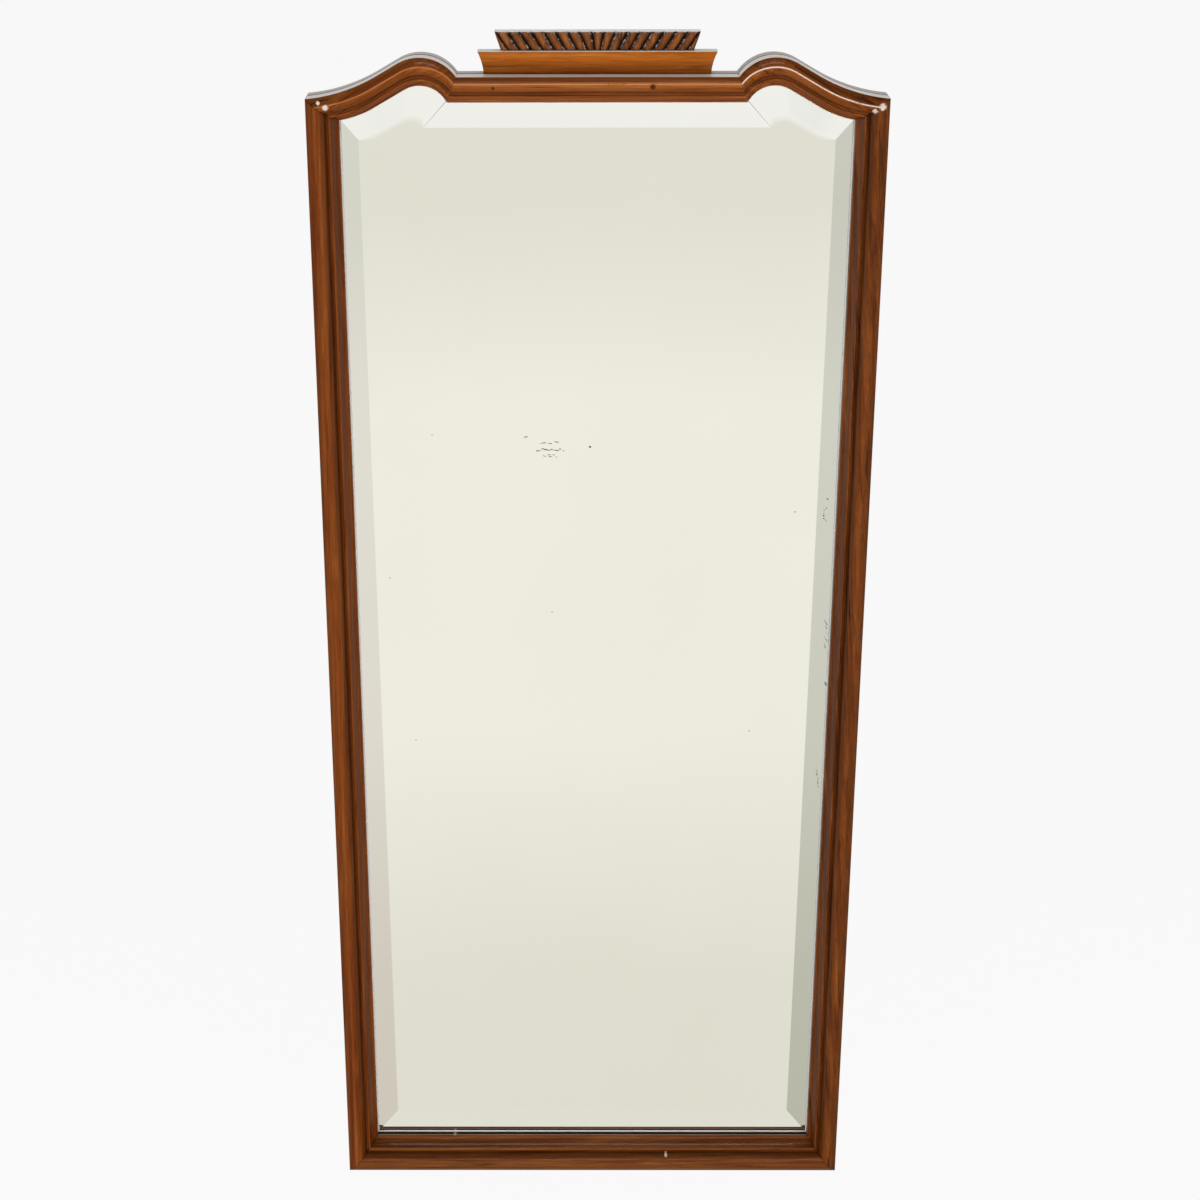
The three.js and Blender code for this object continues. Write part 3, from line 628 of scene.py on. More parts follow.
def moulding_wood(
    name, seed, tones, turned=None, slant=0.0, gleam=0.0, gleam_tone=SCUFF, lip=0.0, top=0.0, marks=()
):
    """Varnished walnut of one member, with painted shade and highlight over its width, painted highlights
    on its ridge and lip, a near-black inner face to the lip, dust and a painted sheen on top with a painted
    shadow at the joint, and its marks.
    """
    material, tree, shader = new_material(name)
    place = attribute_vector(tree, "grain")
    vector = object_vector(tree, turned) if turned else object_vector(tree, (0, 0, slant), place)
    colour, fibre, broad = wood_pattern(tree, vector, seed, **tones)
    _, run, width = axes(tree, place)
    share = math_node(tree, "DIVIDE", width, STILE_W * MM)
    # painted shade in the hollow, the quirk and the outer band, painted highlight on the bead and the ridge
    tone = ramp(tree, share, shade_over_width(DARK_BAND if turned or top else PLAIN_BAND))
    toned = mixed(tree, 1.0, colour, tone, "MULTIPLY")
    # painted highlight: a broken light line along the ridge
    if gleam:
        ridge = within(tree, width, (RIDGE_W - GLEAM_SHIFT) * MM, GLEAM_REACH * MM)
        broken = patchy(tree, place, GLEAM_SCALE, 0.36, 0.42, seed)
        strength = product(tree, product(tree, ridge, broken), gleam)
        toned = mixed(tree, strength, toned, gleam_tone)
    # painted highlight along the lip's front arris
    if lip:
        edge = within(tree, width, 0.0, LIP_GLEAM_REACH * MM)
        toned = mixed(tree, product(tree, edge, lip), toned, LIP_GLEAM)
        # the lip's inner face near-black
        inside = math_node(tree, "LESS_THAN", run, LIP_FACE * MM)
        toned = mixed(tree, inside, toned, GRIME_AND_SHADE)
    if top:
        # dust and a painted sheen on the outer face
        dust_and_sheen = product(tree, above(tree, share, OUTER_FACE_SHARE), top)
        dust_and_sheen = product(tree, dust_and_sheen, ramp(tree, fibre, [(0.3, 0.8), (0.5, 1.0)]))
        toned = mixed(tree, dust_and_sheen, toned, TOP_DUST_AND_SHEEN)
        # painted shadow: a near-black band on the outer face beside the joint with the back frame
        toned = mixed(tree, above(tree, run, (JOINT_RUN - JOINT_SHADOW) * MM), toned, GRIME_AND_SHADE)
    varnish(tree, shader, marked(tree, mitred(tree, toned), marks), fibre, broad)
    return material


MITRE_DIRT_SCALE = (260, 260, 260)


def mitred(tree, colour):
    """A thin dark line of old glue and dirt along the mitres."""
    place = object_place(tree)
    at_x, _, at_z = axes(tree, place)
    in_x = math_node(tree, "SUBTRACT", HALF_W * MM, math_node(tree, "ABSOLUTE", at_x))
    for (sight_x, sight_z), (_, outer_z), _ in (BOTTOM_CORNER, TOP_CORNER):
        rise = (sight_z - outer_z) / (HALF_W - sight_x)
        in_z = math_node(tree, "SUBTRACT", at_z, (outer_z - RING_Z) * MM)
        off = math_node(tree, "SUBTRACT", in_z, product(tree, in_x, rise))
        line = within(tree, off, 0.0, MITRE_DIRT_REACH * MM)
        dirt = product(tree, line, patchy(tree, place, MITRE_DIRT_SCALE, 0.4, 0.56))
        colour = mixed(tree, dirt, colour, GRIME_AND_SHADE)
    return colour


def raw_wood(name, seed, tones, roughness, bump):
    """Unvarnished wood with upright grain."""
    material, tree, shader = new_material(name)
    colour, fibre, broad = wood_pattern(tree, object_vector(tree, UPRIGHT), seed, **tones)
    varnish(tree, shader, colour, fibre, broad, roughness, coat=0.0, bump=bump)
    return material


# ---- Moulded front and back frame ----------------------------------------------------------------


def grain_of(rings, section):
    """(along, across, w) of each point of a member, for its wood."""
    middle = [tuple(sum((Vector(p) for p in ring), Vector()) / len(ring)) for ring in rings]
    along = running_lengths(middle)
    width = running_lengths(section)
    return [(s, t, w) for s in along for t, (w, _) in zip(width, section)]


def member(name, rings, section, material):
    rings[0] = eased(rings[0], rings[1])
    rings[-1] = eased(rings[-1], rings[-2])
    points, faces = loft(rings)
    return piece(name + "_wood", points, faces, material, name, grain=grain_of(rings, section))


# Tones of painted highlights: along the ridge, near-white along the right shoulder's ridge, and on the
# lip's front arris; the last is also the tone of a chip on the bottom rail
RIDGE_LIGHT = srgb(206, 150, 108)
RIDGE_WHITE = srgb(240, 228, 216)
LIP_GLEAM = srgb(150, 134, 116)
CHIP = srgb(206, 186, 160)
KNOT = srgb(74, 30, 8)
RAIL_CHIPS = ((92.2, 20.3, 3, CHIP), (-173.2, 36, 4, LIP_GLEAM))
TOP_KNOTS = ((57.3, 1351.5, 6, KNOT), (-108.7, 1350, 4, KNOT))
CORNER_SCUFFS = {  # by side
    -1: ((-283.7, 1330.1, 6, SCUFF), (-291, 1335, 4, SCUFF)),
    1: ((296.8, 1330.7, 7, SCUFF), (289, 1326, 5, SCUFF)),
}


STILE_LOOKS = {  # by side: the wood's tones, slant of its grain in radians, and strength of the painted highlight on the lip's arris, which also gives the lip's inner face its near-black
    -1: {"tones": STILE_TONES, "slant": 0.03, "lip": 0.0},
    1: {"tones": DARK_STILE_TONES, "slant": 0.12, "lip": 0.75},
}
SHOULDER_LOOKS = {  # by side: strength and tone of the painted highlight along the ridge
    -1: {"gleam": 0.45, "gleam_tone": RIDGE_LIGHT},
    1: {"gleam": 1.0, "gleam_tone": RIDGE_WHITE},
}
SHOULDER_SEED = 2.3  # beyond the stile's


def stile_rings(section, side):
    return straight_rings(ring_at(BOTTOM_CORNER, section, side), ring_at(TOP_CORNER, section, side))


def rail_rings(section, station):
    return straight_rings(ring_at(station, section, -1), ring_at(station, section, 1))


def build_side(section, side, label, seed):
    scuffs = CORNER_SCUFFS[side]
    stile_wood = moulding_wood(f"{label}_stile_walnut", seed, marks=scuffs, **STILE_LOOKS[side])
    member(f"{label}_stile", stile_rings(section, side), section, stile_wood)
    shoulder_wood = moulding_wood(
        f"{label}_shoulder_walnut",
        seed + SHOULDER_SEED,
        SHOULDER_TONES,
        turned=(0, -side * FLANK_SLOPE, 0),
        top=1.0,
        marks=scuffs,
        **SHOULDER_LOOKS[side],
    )
    rings = [ring_at(station, section, side) for station in SHOULDER]
    member(f"{label}_shoulder", rings, section, shoulder_wood)


def build_moulding():
    section = moulding_section()
    build_side(section, -1, "left", 3.1)
    build_side(section, 1, "right", 7.7)
    rail_wood = moulding_wood(
        "bottom_rail_walnut", 5.2, BOTTOM_TONES, slant=0.02, lip=0.6, marks=RAIL_CHIPS
    )
    member("bottom_rail", rail_rings(section, BOTTOM_CORNER), section, rail_wood)
    top_wood = moulding_wood(
        "top_rail_walnut", 9.4, RAIL_TONES, gleam=0.6, gleam_tone=RIDGE_LIGHT, top=1.0, marks=TOP_KNOTS
    )
    member("top_rail", rail_rings(section, VALLEY), section, top_wood)


BACK_TONES = wood_tones((84, 50, 28), (112, 70, 40), (138, 92, 56), (64, 38, 22))


def back_wood(name, seed, top=0.0):
    """Stained wood of the back frame, with its grain along each member, with dust and a painted sheen where
    it faces up.
    """
    material, tree, shader = new_material(name)
    place = attribute_vector(tree, "grain")
    colour, fibre, broad = wood_pattern(tree, place, seed, **BACK_TONES)
    if top:
        share = math_node(tree, "DIVIDE", axes(tree, place)[2], STILE_W * MM)
        outer = above(tree, share, OUTER_FACE_SHARE)
        # dust and a painted sheen on the outer face
        colour = mixed(tree, product(tree, outer, top), colour, BACK_DUST_AND_SHEEN)
    varnish(tree, shader, colour, fibre, broad, roughness=0.42, coat=0.1, bump=0.2)
    return material


def build_back_frame():
    section = back_section()
    for side, label in ((-1, "left"), (1, "right")):
        wood = back_wood(f"{label}_back_wood", 2.2 + side)
        member(f"{label}_back_stile", stile_rings(section, side), section, wood)
    bottom_wood = back_wood("bottom_back_wood", 4.4)
    member("bottom_back_rail", rail_rings(section, BOTTOM_CORNER), section, bottom_wood)
    left = [ring_at(station, section, -1) for station in SHOULDER][::-1]
    right = [ring_at(station, section, 1) for station in SHOULDER]
    member("top_back_rail", left + right, section, back_wood("top_back_wood", 6.1, top=1.0))


# ---- Mirror plate --------------------------------------------------------------------------------


def field_line():
    """The line where the bevel meets the flat field, as (x, z) points once round the plate."""
    foot_x = SIGHT_FOOT_X - BEVEL_SIDE_FOOT
    half = ogee(
        SIGHT_FLAT_Z - BEVEL_TOP,
        SIGHT_CROWN_X + BEVEL_ARCH_SHIFT,
        SIGHT_CROWN_Z - BEVEL_ARCH_DROP,
        BEVEL_ARCH_R,
        BEVEL_FLANK,
        SIGHT_HEAD_X - BEVEL_SIDE_HEAD,
        SIGHT_CORNER_Z - BEVEL_CORNER_DROP,
    )
    right = [(foot_x, RAIL_W + BEVEL_BOTTOM)] + half[::-1]
    left = [(-x, z) for x, z in right][::-1]
    return right + left


SHARP_BLEND = 0.02  # share of the bevel over which its inner edge is eased
SOFT_BLEND = 0.22  # the same on the hand-worked shoulders
BLEND_STEPS = 6
SHOULDER_POINTS = ARCH_STEPS + HOLLOW_STEPS + 2
BEVEL_TILT = math.radians(4.6)
BOTTOM_TILT = math.radians(-1.2)  # a bottom bevel's wedge of glass throws what it mirrors upwards
MITRE_TURN = math.radians(12)
EASED_POINTS = 10  # points of the line over which the blend grows soft
MARGIN_RINGS = 3  # rings of the plate's back, its edge and the flat margin
FAR_INSIDE_W = -99  # a ring well inside the plate, which gives the way inwards
CREASE_SHARE = 0.002  # of that way, for the ring that keeps the margin's edge crisp


def blend_of(j, count):
    """Easing of the bevel's inner edge at one point of the ring, soft along the shoulders."""
    place = min(j, count - 1 - j)
    into = min(place - 2, SHOULDER_POINTS - 2 - place)
    return lerp(SHARP_BLEND, SOFT_BLEND, min(1.0, max(0.0, into / EASED_POINTS)))


def outward(a, b):
    """Direction away from the field, square to the line from a to b, which runs anticlockwise."""
    step = (Vector(b) - Vector(a)).normalized()
    return Vector((step.y, -step.x))


def bevel_directions(line):
    """For each stretch of the line, the outward directions at its two ends, smooth but for the mitres."""
    count = len(line)
    flat = [outward(line[j], line[(j + 1) % count]) for j in range(count)]

    def eased(j, k):
        if flat[j].angle(flat[k]) > MITRE_TURN:
            return flat[j]
        return (flat[j] + flat[k]).normalized()

    return [(eased(j, j - 1), eased(j, (j + 1) % count)) for j in range(count)]


UP = Vector((0, 1))
VALLEY_FADE = 14  # stretches of the arch over which its bevel turns up towards the valley
VALLEY_TILTS = (math.radians(7.4), math.radians(15))  # bright and grey facets of the mitre's arris


def near_valley(step, away, tilt):
    """Direction and tilt of the bevel that many stretches from a valley, with the mitre's thin facets."""
    if 0 <= step < len(VALLEY_TILTS):
        return UP, VALLEY_TILTS[step]
    if 0 <= step < VALLEY_FADE:
        return UP.lerp(away, step / VALLEY_FADE).normalized(), tilt
    return away, tilt


def plate_rings(line):
    """Rings from the plate's back to its field, and each point's share of the bevel's tilt."""
    count = len(line)
    edge_depth = PLATE_BACK + PLATE_EDGE_T
    front = PLATE_BACK + PLATE_T
    margin = outline(-PLATE_MARGIN, edge_depth)
    inside = outline(FAR_INSIDE_W, edge_depth)
    crease = [tuple(lerp(p[k], q[k], CREASE_SHARE) for k in (0, 1, 2)) for p, q in zip(margin, inside)]
    rings = [outline(PLATE_LAP, PLATE_BACK), outline(PLATE_LAP, edge_depth), margin, crease]
    slopes = [[0.0] * count, [0.0] * count, [1.0] * count, [1.0] * count]
    for i in range(BLEND_STEPS + 1):
        ring, slope = [], []
        for j, ((margin_x, _, margin_z), (line_x, line_z)) in enumerate(zip(margin, line)):
            blend = blend_of(j, count)
            u = lerp(-blend, blend, i / BLEND_STEPS)
            fall = (PLATE_T - PLATE_EDGE_T) * (blend - u) ** 2 / (4 * blend)
            ring.append((lerp(margin_x, line_x, 1 + u), -front + fall, lerp(margin_z, line_z, 1 + u)))
            slope.append((blend - u) / (2 * blend))
        rings.append(ring)
        slopes.append(slope)
    return rings, slopes


def bevel_normal(directions, stretch, j, slope):
    """Normal at point j of a stretch of the bevel, by its share of the tilt."""
    count = len(directions)
    away = directions[stretch][0 if j == stretch else 1]
    tilt = BOTTOM_TILT if stretch == count - 1 else BEVEL_TILT
    away, tilt = near_valley(abs(stretch - count // 2 + 1) - 1, away, tilt)
    tilt *= slope
    return away.x * math.sin(tilt), -math.cos(tilt), away.y * math.sin(tilt)


def build_plate():
    """The plate, with normals that give each bevel one even tilt and soften the shoulders' inner edge."""
    line = field_line()
    count = len(line)
    rings, slopes = plate_rings(line)
    points, faces = loft(rings)
    on_margin = [(1 / MM if i < MARGIN_RINGS else 0.0, 0, 0) for i in range(len(rings)) for _ in line]
    plate = piece("mirror_plate_glass", points, faces, silvered_glass(), "mirror_plate", grain=on_margin)
    directions = bevel_directions(line)
    normals = []
    for face in plate.data.polygons:
        stretch = stretch_of([vertex % count for vertex in face.vertices], count)
        on_bevel = min(face.vertices) >= 2 * count and len(face.vertices) == 4
        for vertex in face.vertices:
            ring, j = divmod(vertex, count)
            if on_bevel:
                normals.append(bevel_normal(directions, stretch, j, slopes[ring][j]))
            else:
                normals.append(face.normal[:])
    plate.data.normals_split_custom_set(normals)


def stretch_of(places, count):
    """Number of the stretch that a four-sided face of the skin covers."""
    low, high = min(places), max(places)
    return high if (low, high) == (0, count - 1) else low


SILVER = srgb(252, 252, 250)
WARM_SILVER = srgb(249, 249, 246)
HAZE_SCALE = (3, 3, 3)


def silvered_glass():
    """Aged silvering, with the plate's pale polished margin beside the lip."""
    material, tree, shader = new_material("aged_silvering")
    haze = noise(tree, stretched(tree, object_place(tree), HAZE_SCALE), 3, 0.5)
    tint = ramp(tree, haze, [(0.3, WARM_SILVER), (0.7, SILVER)])
    tree.links.new(tint, shader.inputs["Base Color"])
    margin = axes(tree, attribute_vector(tree, "grain"))[0]
    tree.links.new(ramp(tree, margin, [(0.45, 1.0), (0.55, 0.15)]), shader.inputs["Metallic"])
    tree.links.new(ramp(tree, margin, [(0.45, 0.015), (0.55, 0.4)]), shader.inputs["Roughness"])
    return material


SPECK_SEED = 4
SPECK_SIDES = 10
SPECK_LIFT = 0.06
SPECK_RAGGED = (0.75, 1.2)
ROW_PLACE = (0.2, 0.8)  # place of a speck within its step of a row
DASH_SCATTER = 1.6
DASH_HALF_W = (0.9, 2.2)
DASH_HALF_H = (0.6, 1.2)  # of the row's half height
DOT_SCATTER = 1.5
DOT_HALF_W = (0.4, 0.9)
DOT_HALF_H = (0.4, 0.8)
BLOTCH_SCALE = (900, 900, 900)
SPECKS = (  # x, z, half width and half height of lone losses of the silvering
    (-78.4, 959.0, 1.1, 0.8),
    (-76.4, 959.2, 0.9, 0.7),
    (-6.1, 947.2, 1.5, 1.2),
    (-182.2, 961.4, 0.8, 0.5),
    (-233.9, 789.9, 0.7, 0.7),
    (-49.0, 747.8, 0.7, 0.6),
    (-209.3, 584.9, 0.7, 0.7),
    (181.7, 596.7, 0.8, 0.7),
    (269.4, 655.8, 0.9, 1.2),
    (225.5, 870.0, 1.6, 0.4),
    (262.0, 885.0, 1.4, 0.4),
)
DASH_ROWS = (  # x of both ends, z, count and half height of the rows of dashes
    (-62, -40, 952.5, 6, 0.45),
    (-67, -35, 944.0, 11, 0.65),
    (-60, -42, 936.5, 6, 0.4),
)
DOT_ROWS = (  # x, z of both ends and count of the dots down the right-hand edge
    (259.5, 858, 876, 6),
    (266.8, 700, 738, 8),
    (265.0, 519, 546, 5),
)


def scattered_specks(chance):
    """All specks as (x, z, half width, half height)."""
    specks = list(SPECKS)
    for x0, x1, z, count, half in DASH_ROWS:
        for i in range(count):
            x = lerp(x0, x1, (i + chance.uniform(*ROW_PLACE)) / count)
            at_z = z + chance.uniform(-DASH_SCATTER, DASH_SCATTER)
            half_w = chance.uniform(*DASH_HALF_W)
            specks.append((x, at_z, half_w, half * chance.uniform(*DASH_HALF_H)))
    for x, z0, z1, count in DOT_ROWS:
        for i in range(count):
            z = lerp(z0, z1, (i + chance.uniform(*ROW_PLACE)) / count)
            at_x = x + chance.uniform(-DOT_SCATTER, DOT_SCATTER)
            specks.append((at_x, z, chance.uniform(*DOT_HALF_W), chance.uniform(*DOT_HALF_H)))
    return specks


def lost_silvering():
    material, tree, shader = new_material("lost_silvering")
    blotch = noise(tree, stretched(tree, object_place(tree), BLOTCH_SCALE), 3, 0.6)
    tone = ramp(tree, blotch, [(0.35, srgb(40, 44, 48)), (0.65, srgb(104, 108, 110))])
    tree.links.new(tone, shader.inputs["Base Color"])
    tree.links.new(ramp(tree, blotch, [(0.3, 0.5), (0.7, 0.75)]), shader.inputs["Roughness"])
    shader.inputs["Specular IOR Level"].default_value = 0.1
    return material


def build_specks():
    """Small dark losses of the silvering: lone specks, rows of dashes, and dots near the right edge."""
    chance = random.Random(SPECK_SEED)
    front = PLATE_BACK + PLATE_T + SPECK_LIFT
    points, faces = [], []
    for x, z, half_w, half_h in scattered_specks(chance):
        first = len(points)
        for i in range(SPECK_SIDES):
            angle = 2 * math.pi * i / SPECK_SIDES
            ragged = chance.uniform(*SPECK_RAGGED)
            out_x = half_w * ragged * math.cos(angle)
            out_z = half_h * ragged * math.sin(angle)
            points.append((x + out_x, -front, z + out_z))
        faces.append(tuple(range(first, first + SPECK_SIDES)))
    piece("silvering_specks", points, faces, lost_silvering(), "mirror_plate")


# ---- Crest ---------------------------------------------------------------------------------------


def dust_and_sheen_on_top(tree, colour, top_z):
    """Dust and a painted sheen on a top face, above a height in the frame's millimetres."""
    height = axes(tree, object_place(tree))[2]
    return mixed(tree, above(tree, height, (top_z - TOP_FACE_DEPTH - RING_Z) * MM), colour, TOP_DUST_AND_SHEEN)


def crest_wood():
    """Golden walnut of the lower tier, with painted shade that darkens it towards its foot."""
    material, tree, shader = new_material("crest_walnut")
    colour, fibre, broad = wood_pattern(tree, object_vector(tree), 1.7, **CREST_TONES)
    height = axes(tree, object_place(tree))[2]
    over_foot = math_node(tree, "SUBTRACT", height, (CREST_Z - RING_Z) * MM)
    up = math_node(tree, "DIVIDE", over_foot, CREST_H * MM)
    # painted shade: darker towards the foot, where the tier sits on the top rail
    foot_shade = ramp(tree, up, [(0.0, 0.5), (0.06, 0.68), (0.5, 0.78), (0.62, 1.0), (1.0, 1.05)])
    toned = mixed(tree, 1.0, colour, foot_shade, "MULTIPLY")
    varnish(tree, shader, dust_and_sheen_on_top(tree, toned, CREST_Z + CREST_H), fibre, broad)
    return material


CREST_ARRIS = ((0.5, 0.0), (0.15, 0.15), (0.0, 0.5))  # inset and depth of its points
CREST_CURVE_STEPS = 12


def build_crest_base():
    foot, top = CREST_FOOT_W / 2, CREST_TOP_W / 2
    hollow = (foot + top) / 2 - 2 * CREST_COVE
    right = bezier([(foot, 0), (hollow, CREST_H / 2), (top, CREST_H)], CREST_CURVE_STEPS)
    left = [(-x, z) for x, z in right[::-1]]
    outline_xz = right + left
    layers = [(inset, CREST_BACK + depth) for inset, depth in CREST_ARRIS]
    layers += [(inset, CREST_BACK + CREST_T - depth) for inset, depth in reversed(CREST_ARRIS)]
    rings = []
    for inset, depth in layers:
        shrink_x = 1 - inset / top
        shrink_z = 1 - 2 * inset / CREST_H
        ring = [
            (x * shrink_x, -depth, CREST_Z + CREST_H / 2 + (z - CREST_H / 2) * shrink_z)
            for x, z in outline_xz
        ]
        rings.append(ring)
    points, faces = loft(rings)
    piece("crest_base_wood", points, faces, crest_wood(), "crest_base")


REED_STEPS = 14
REED_ROWS = 26
HEAD_ROUND = 0.12  # share of the height over which the heads round over
HEAD_DROP = 1.2


def fanned(reeds):
    """Place of a reed's edge along the foot, in reeds, for an edge that many reeds from the middle."""
    return reeds - REED_LEAN * math.tanh(reeds / REED_LEAN_REACH)


def reed_edges(level):
    """Edges of the reeds from end to end, at a share of the tier's height."""
    outermost = REED_COUNT / 2
    foot_step = (GADROON_FOOT_W / 2 - END_REED_FOOT_W) / fanned(outermost)
    head_step = (GADROON_TOP_W / 2 - END_REED_HEAD_W) / outermost
    inner = []
    for i in range(REED_COUNT + 1):
        reeds = i - outermost
        inner.append(lerp(fanned(reeds) * foot_step, reeds * head_step, level))
    end = lerp(GADROON_FOOT_W, GADROON_TOP_W, level) / 2
    return [-end] + inner + [end]


def gadroon_ring(level):
    """One level of the tier, with each point's height on its reed from 0 in a groove to 1 on the crest."""
    edges = reed_edges(level)
    half = edges[-1]
    z = GADROON_Z + GADROON_H * level
    over = max(0.0, (level - 1 + HEAD_ROUND) / HEAD_ROUND)
    front = lerp(GADROON_FOOT_T, CREST_T, math.sin(level * math.pi / 2)) - HEAD_DROP * over * over
    ring = [(half, -CREST_BACK, z), (-half, -CREST_BACK, z)]
    hump = [(level / MM, 0, 0), (level / MM, 0, 0)]
    for i, (a, b) in enumerate(zip(edges, edges[1:])):
        for j in range(0 if i == 0 else 1, REED_STEPS + 1):
            angle = j / REED_STEPS * math.pi
            x = lerp(a, b, (1 - math.cos(angle)) / 2)
            ring.append((x, -front + REED_DEPTH * (1 - math.sin(angle)), z))
            hump.append((level / MM, math.cos(angle) / MM, math.sin(angle) / MM))
    return ring, hump


CARVED_TONES = wood_tones((84, 44, 16), (124, 68, 28), (168, 98, 44), (52, 26, 10))
GLINT = srgb(168, 160, 154)
GLINT_SCALE = (330, 330, 330)
HEAD_SCALE = (420, 420, 420)
HEAD_GLINT_LEVEL = 0.93  # share of the tier's height from which the reeds' heads carry painted glints


def carved_wood():
    """Dark carved walnut: painted shade makes the wide grooves nearly black beside brown reed crests, with
    painted grey glints on the flanks and the heads.
    """
    material, tree, shader = new_material("carved_walnut")
    colour, fibre, broad = wood_pattern(tree, object_vector(tree, UPRIGHT), 8.8, **CARVED_TONES)
    level, flank, hump = axes(tree, attribute_vector(tree, "grain"))
    # painted shade: nearly black in the grooves, brown on the crests
    tone = ramp(tree, hump, [(0.0, 0.06), (0.55, 0.12), (0.8, 0.45), (0.95, 1.0), (1.0, 1.15)])
    toned = mixed(tree, 1.0, colour, tone, "MULTIPLY")
    # painted highlights: grey glints on one flank of each reed and on the reeds' heads
    place = object_place(tree)
    inward = product(tree, flank, axes(tree, place)[0])
    on_flank = product(tree, within(tree, hump, 0.6, 0.3), above(tree, inward, 0.0))
    glints = product(tree, on_flank, patchy(tree, place, GLINT_SCALE, 0.5, 0.62))
    spot_mask = patchy(tree, place, HEAD_SCALE, 0.52, 0.6)
    heads = product(tree, above(tree, level, HEAD_GLINT_LEVEL), spot_mask)
    toned = mixed(tree, math_node(tree, "MAXIMUM", glints, heads), toned, GLINT)
    dusted_and_sheened = dust_and_sheen_on_top(tree, toned, GADROON_Z + GADROON_H)
    varnish(tree, shader, dusted_and_sheened, fibre, broad, roughness=0.28, coat=0.35, bump=0.4)
    return material


def build_gadroon():
    rings, humps = [], []
    for i in range(REED_ROWS + 1):
        ring, hump = gadroon_ring(i / REED_ROWS)
        rings.append(ring)
        humps += hump
    points, faces = loft(rings)
    wood = carved_wood()
    piece("gadrooned_crest_wood", points, faces, wood, "gadrooned_crest", grain=humps, sharp_degrees=50)


# ---- Metal ---------------------------------------------------------------------------------------


TARNISH_SCALE = (160, 160, 160)
SCRATCH_SCALE = (300, 300, 2400)
SCRATCH_RELIEF = 0.0002


def aged_metal(name, light, dark, roughness):
    material, tree, shader = new_material(name)
    place = object_place(tree)
    tarnish = noise(tree, stretched(tree, place, TARNISH_SCALE), 6, 0.65)
    colour = ramp(tree, tarnish, [(0.35, dark), (0.62, light)])
    tree.links.new(colour, shader.inputs["Base Color"])
    rough = ramp(tree, tarnish, [(0.3, roughness + 0.2), (0.7, roughness)])
    tree.links.new(rough, shader.inputs["Roughness"])
    shader.inputs["Metallic"].default_value = 1.0
    scratches = noise(tree, stretched(tree, place, SCRATCH_SCALE), 2, 0.5)
    relief = {"Height": scratches, "Strength": 0.15, "Distance": SCRATCH_RELIEF}
    lifted = add_node(tree, "ShaderNodeBump", relief)
    tree.links.new(lifted.outputs["Normal"], shader.inputs["Normal"])
    return material


RING_STEPS = 10
WIRE_SIDES = 20


def ring_line():
    """Centre line of a hanging ring as (x, z) from its hinge line: bar, two legs and a round bow."""
    half = RING_W / 2
    inner = half - RING_CORNER_R
    corner = (inner, -RING_CORNER_R)
    right = arc(corner, RING_CORNER_R, math.pi / 2, 0, RING_STEPS)
    bow = arc((0, -RING_LEG), half, 0, -math.pi, 3 * RING_STEPS)
    left = arc((-inner, -RING_CORNER_R), RING_CORNER_R, math.pi, math.pi / 2, RING_STEPS)
    return right + bow + left


def build_rings(brass):
    line = [Vector(p) for p in ring_line()]
    for side, label in ((-1, "left"), (1, "right")):
        rings = []
        for i, at in enumerate(line):
            along = (line[(i + 1) % len(line)] - line[i - 1]).normalized()
            ring = []
            for j in range(WIRE_SIDES):
                angle = 2 * math.pi * j / WIRE_SIDES
                out = RING_WIRE_R * math.cos(angle)
                x = side * RING_X + at.x - out * along.y
                z = RING_Z + at.y + out * along.x
                ring.append((x, RING_Y + RING_WIRE_R * math.sin(angle), z))
            rings.append(ring)
        points, faces = loft(rings, endless=True)
        piece(f"{label}_ring_wire", points, faces, brass, f"{label}_ring", f"{label}_ring_body")


# ---- What keeps its CAD mesh ---------------------------------------------------------------------

BOARD_TONES = wood_tones((146, 108, 68), (168, 128, 84), (188, 150, 106), (124, 88, 54))
BEECH_TONES = wood_tones((176, 136, 92), (196, 158, 112), (212, 178, 134), (160, 118, 76))


def dress_cad(brass):
    board = raw_wood("backboard_ply", 3.3, BOARD_TONES, roughness=0.7, bump=0.3)
    beech = raw_wood("raw_beech", 5.5, BEECH_TONES, roughness=0.6, bump=0.2)
    steel = aged_metal("dull_steel", srgb(150, 148, 142), srgb(96, 90, 82), 0.35)
    by_slot = {"backboard": board, "beech": beech, "steel": steel, "brass": brass}
    for entry in frame["record"]["subparts"]:
        material = by_slot.get(entry["material_slot"])
        if material:
            for slot in frame["nodes"][entry["node"]].material_slots:
                slot.material = material


# ---- Stage ---------------------------------------------------------------------------------------


SOFTBOXES = (  # name, place, size, power, aim, and whether it shows in what shines
    ("left_softbox", (-1.7, -2.4, -0.4), (1.3, 1.5), 30, (0, 0, -0.45), False),
    ("right_softbox", (1.9, -2.4, -0.4), (1.3, 1.5), 28, (0, 0, -0.45), False),
    ("overhead_softbox", (0.1, -1.7, 1.9), (1.3, 0.2), 12, (0, 0, 0), True),
)


def area_light(name, at, size, power, aim, in_reflections):
    data = bpy.data.lights.new(name, "AREA")
    data.shape = "RECTANGLE"
    data.size, data.size_y = size
    data.energy = power
    lamp = bpy.data.objects.new(name, data)
    lamp.location = at
    lamp.rotation_euler = (Vector(aim) - Vector(at)).to_track_quat("-Z", "Y").to_euler()
    lamp.visible_glossy = in_reflections
    bpy.context.collection.objects.link(lamp)


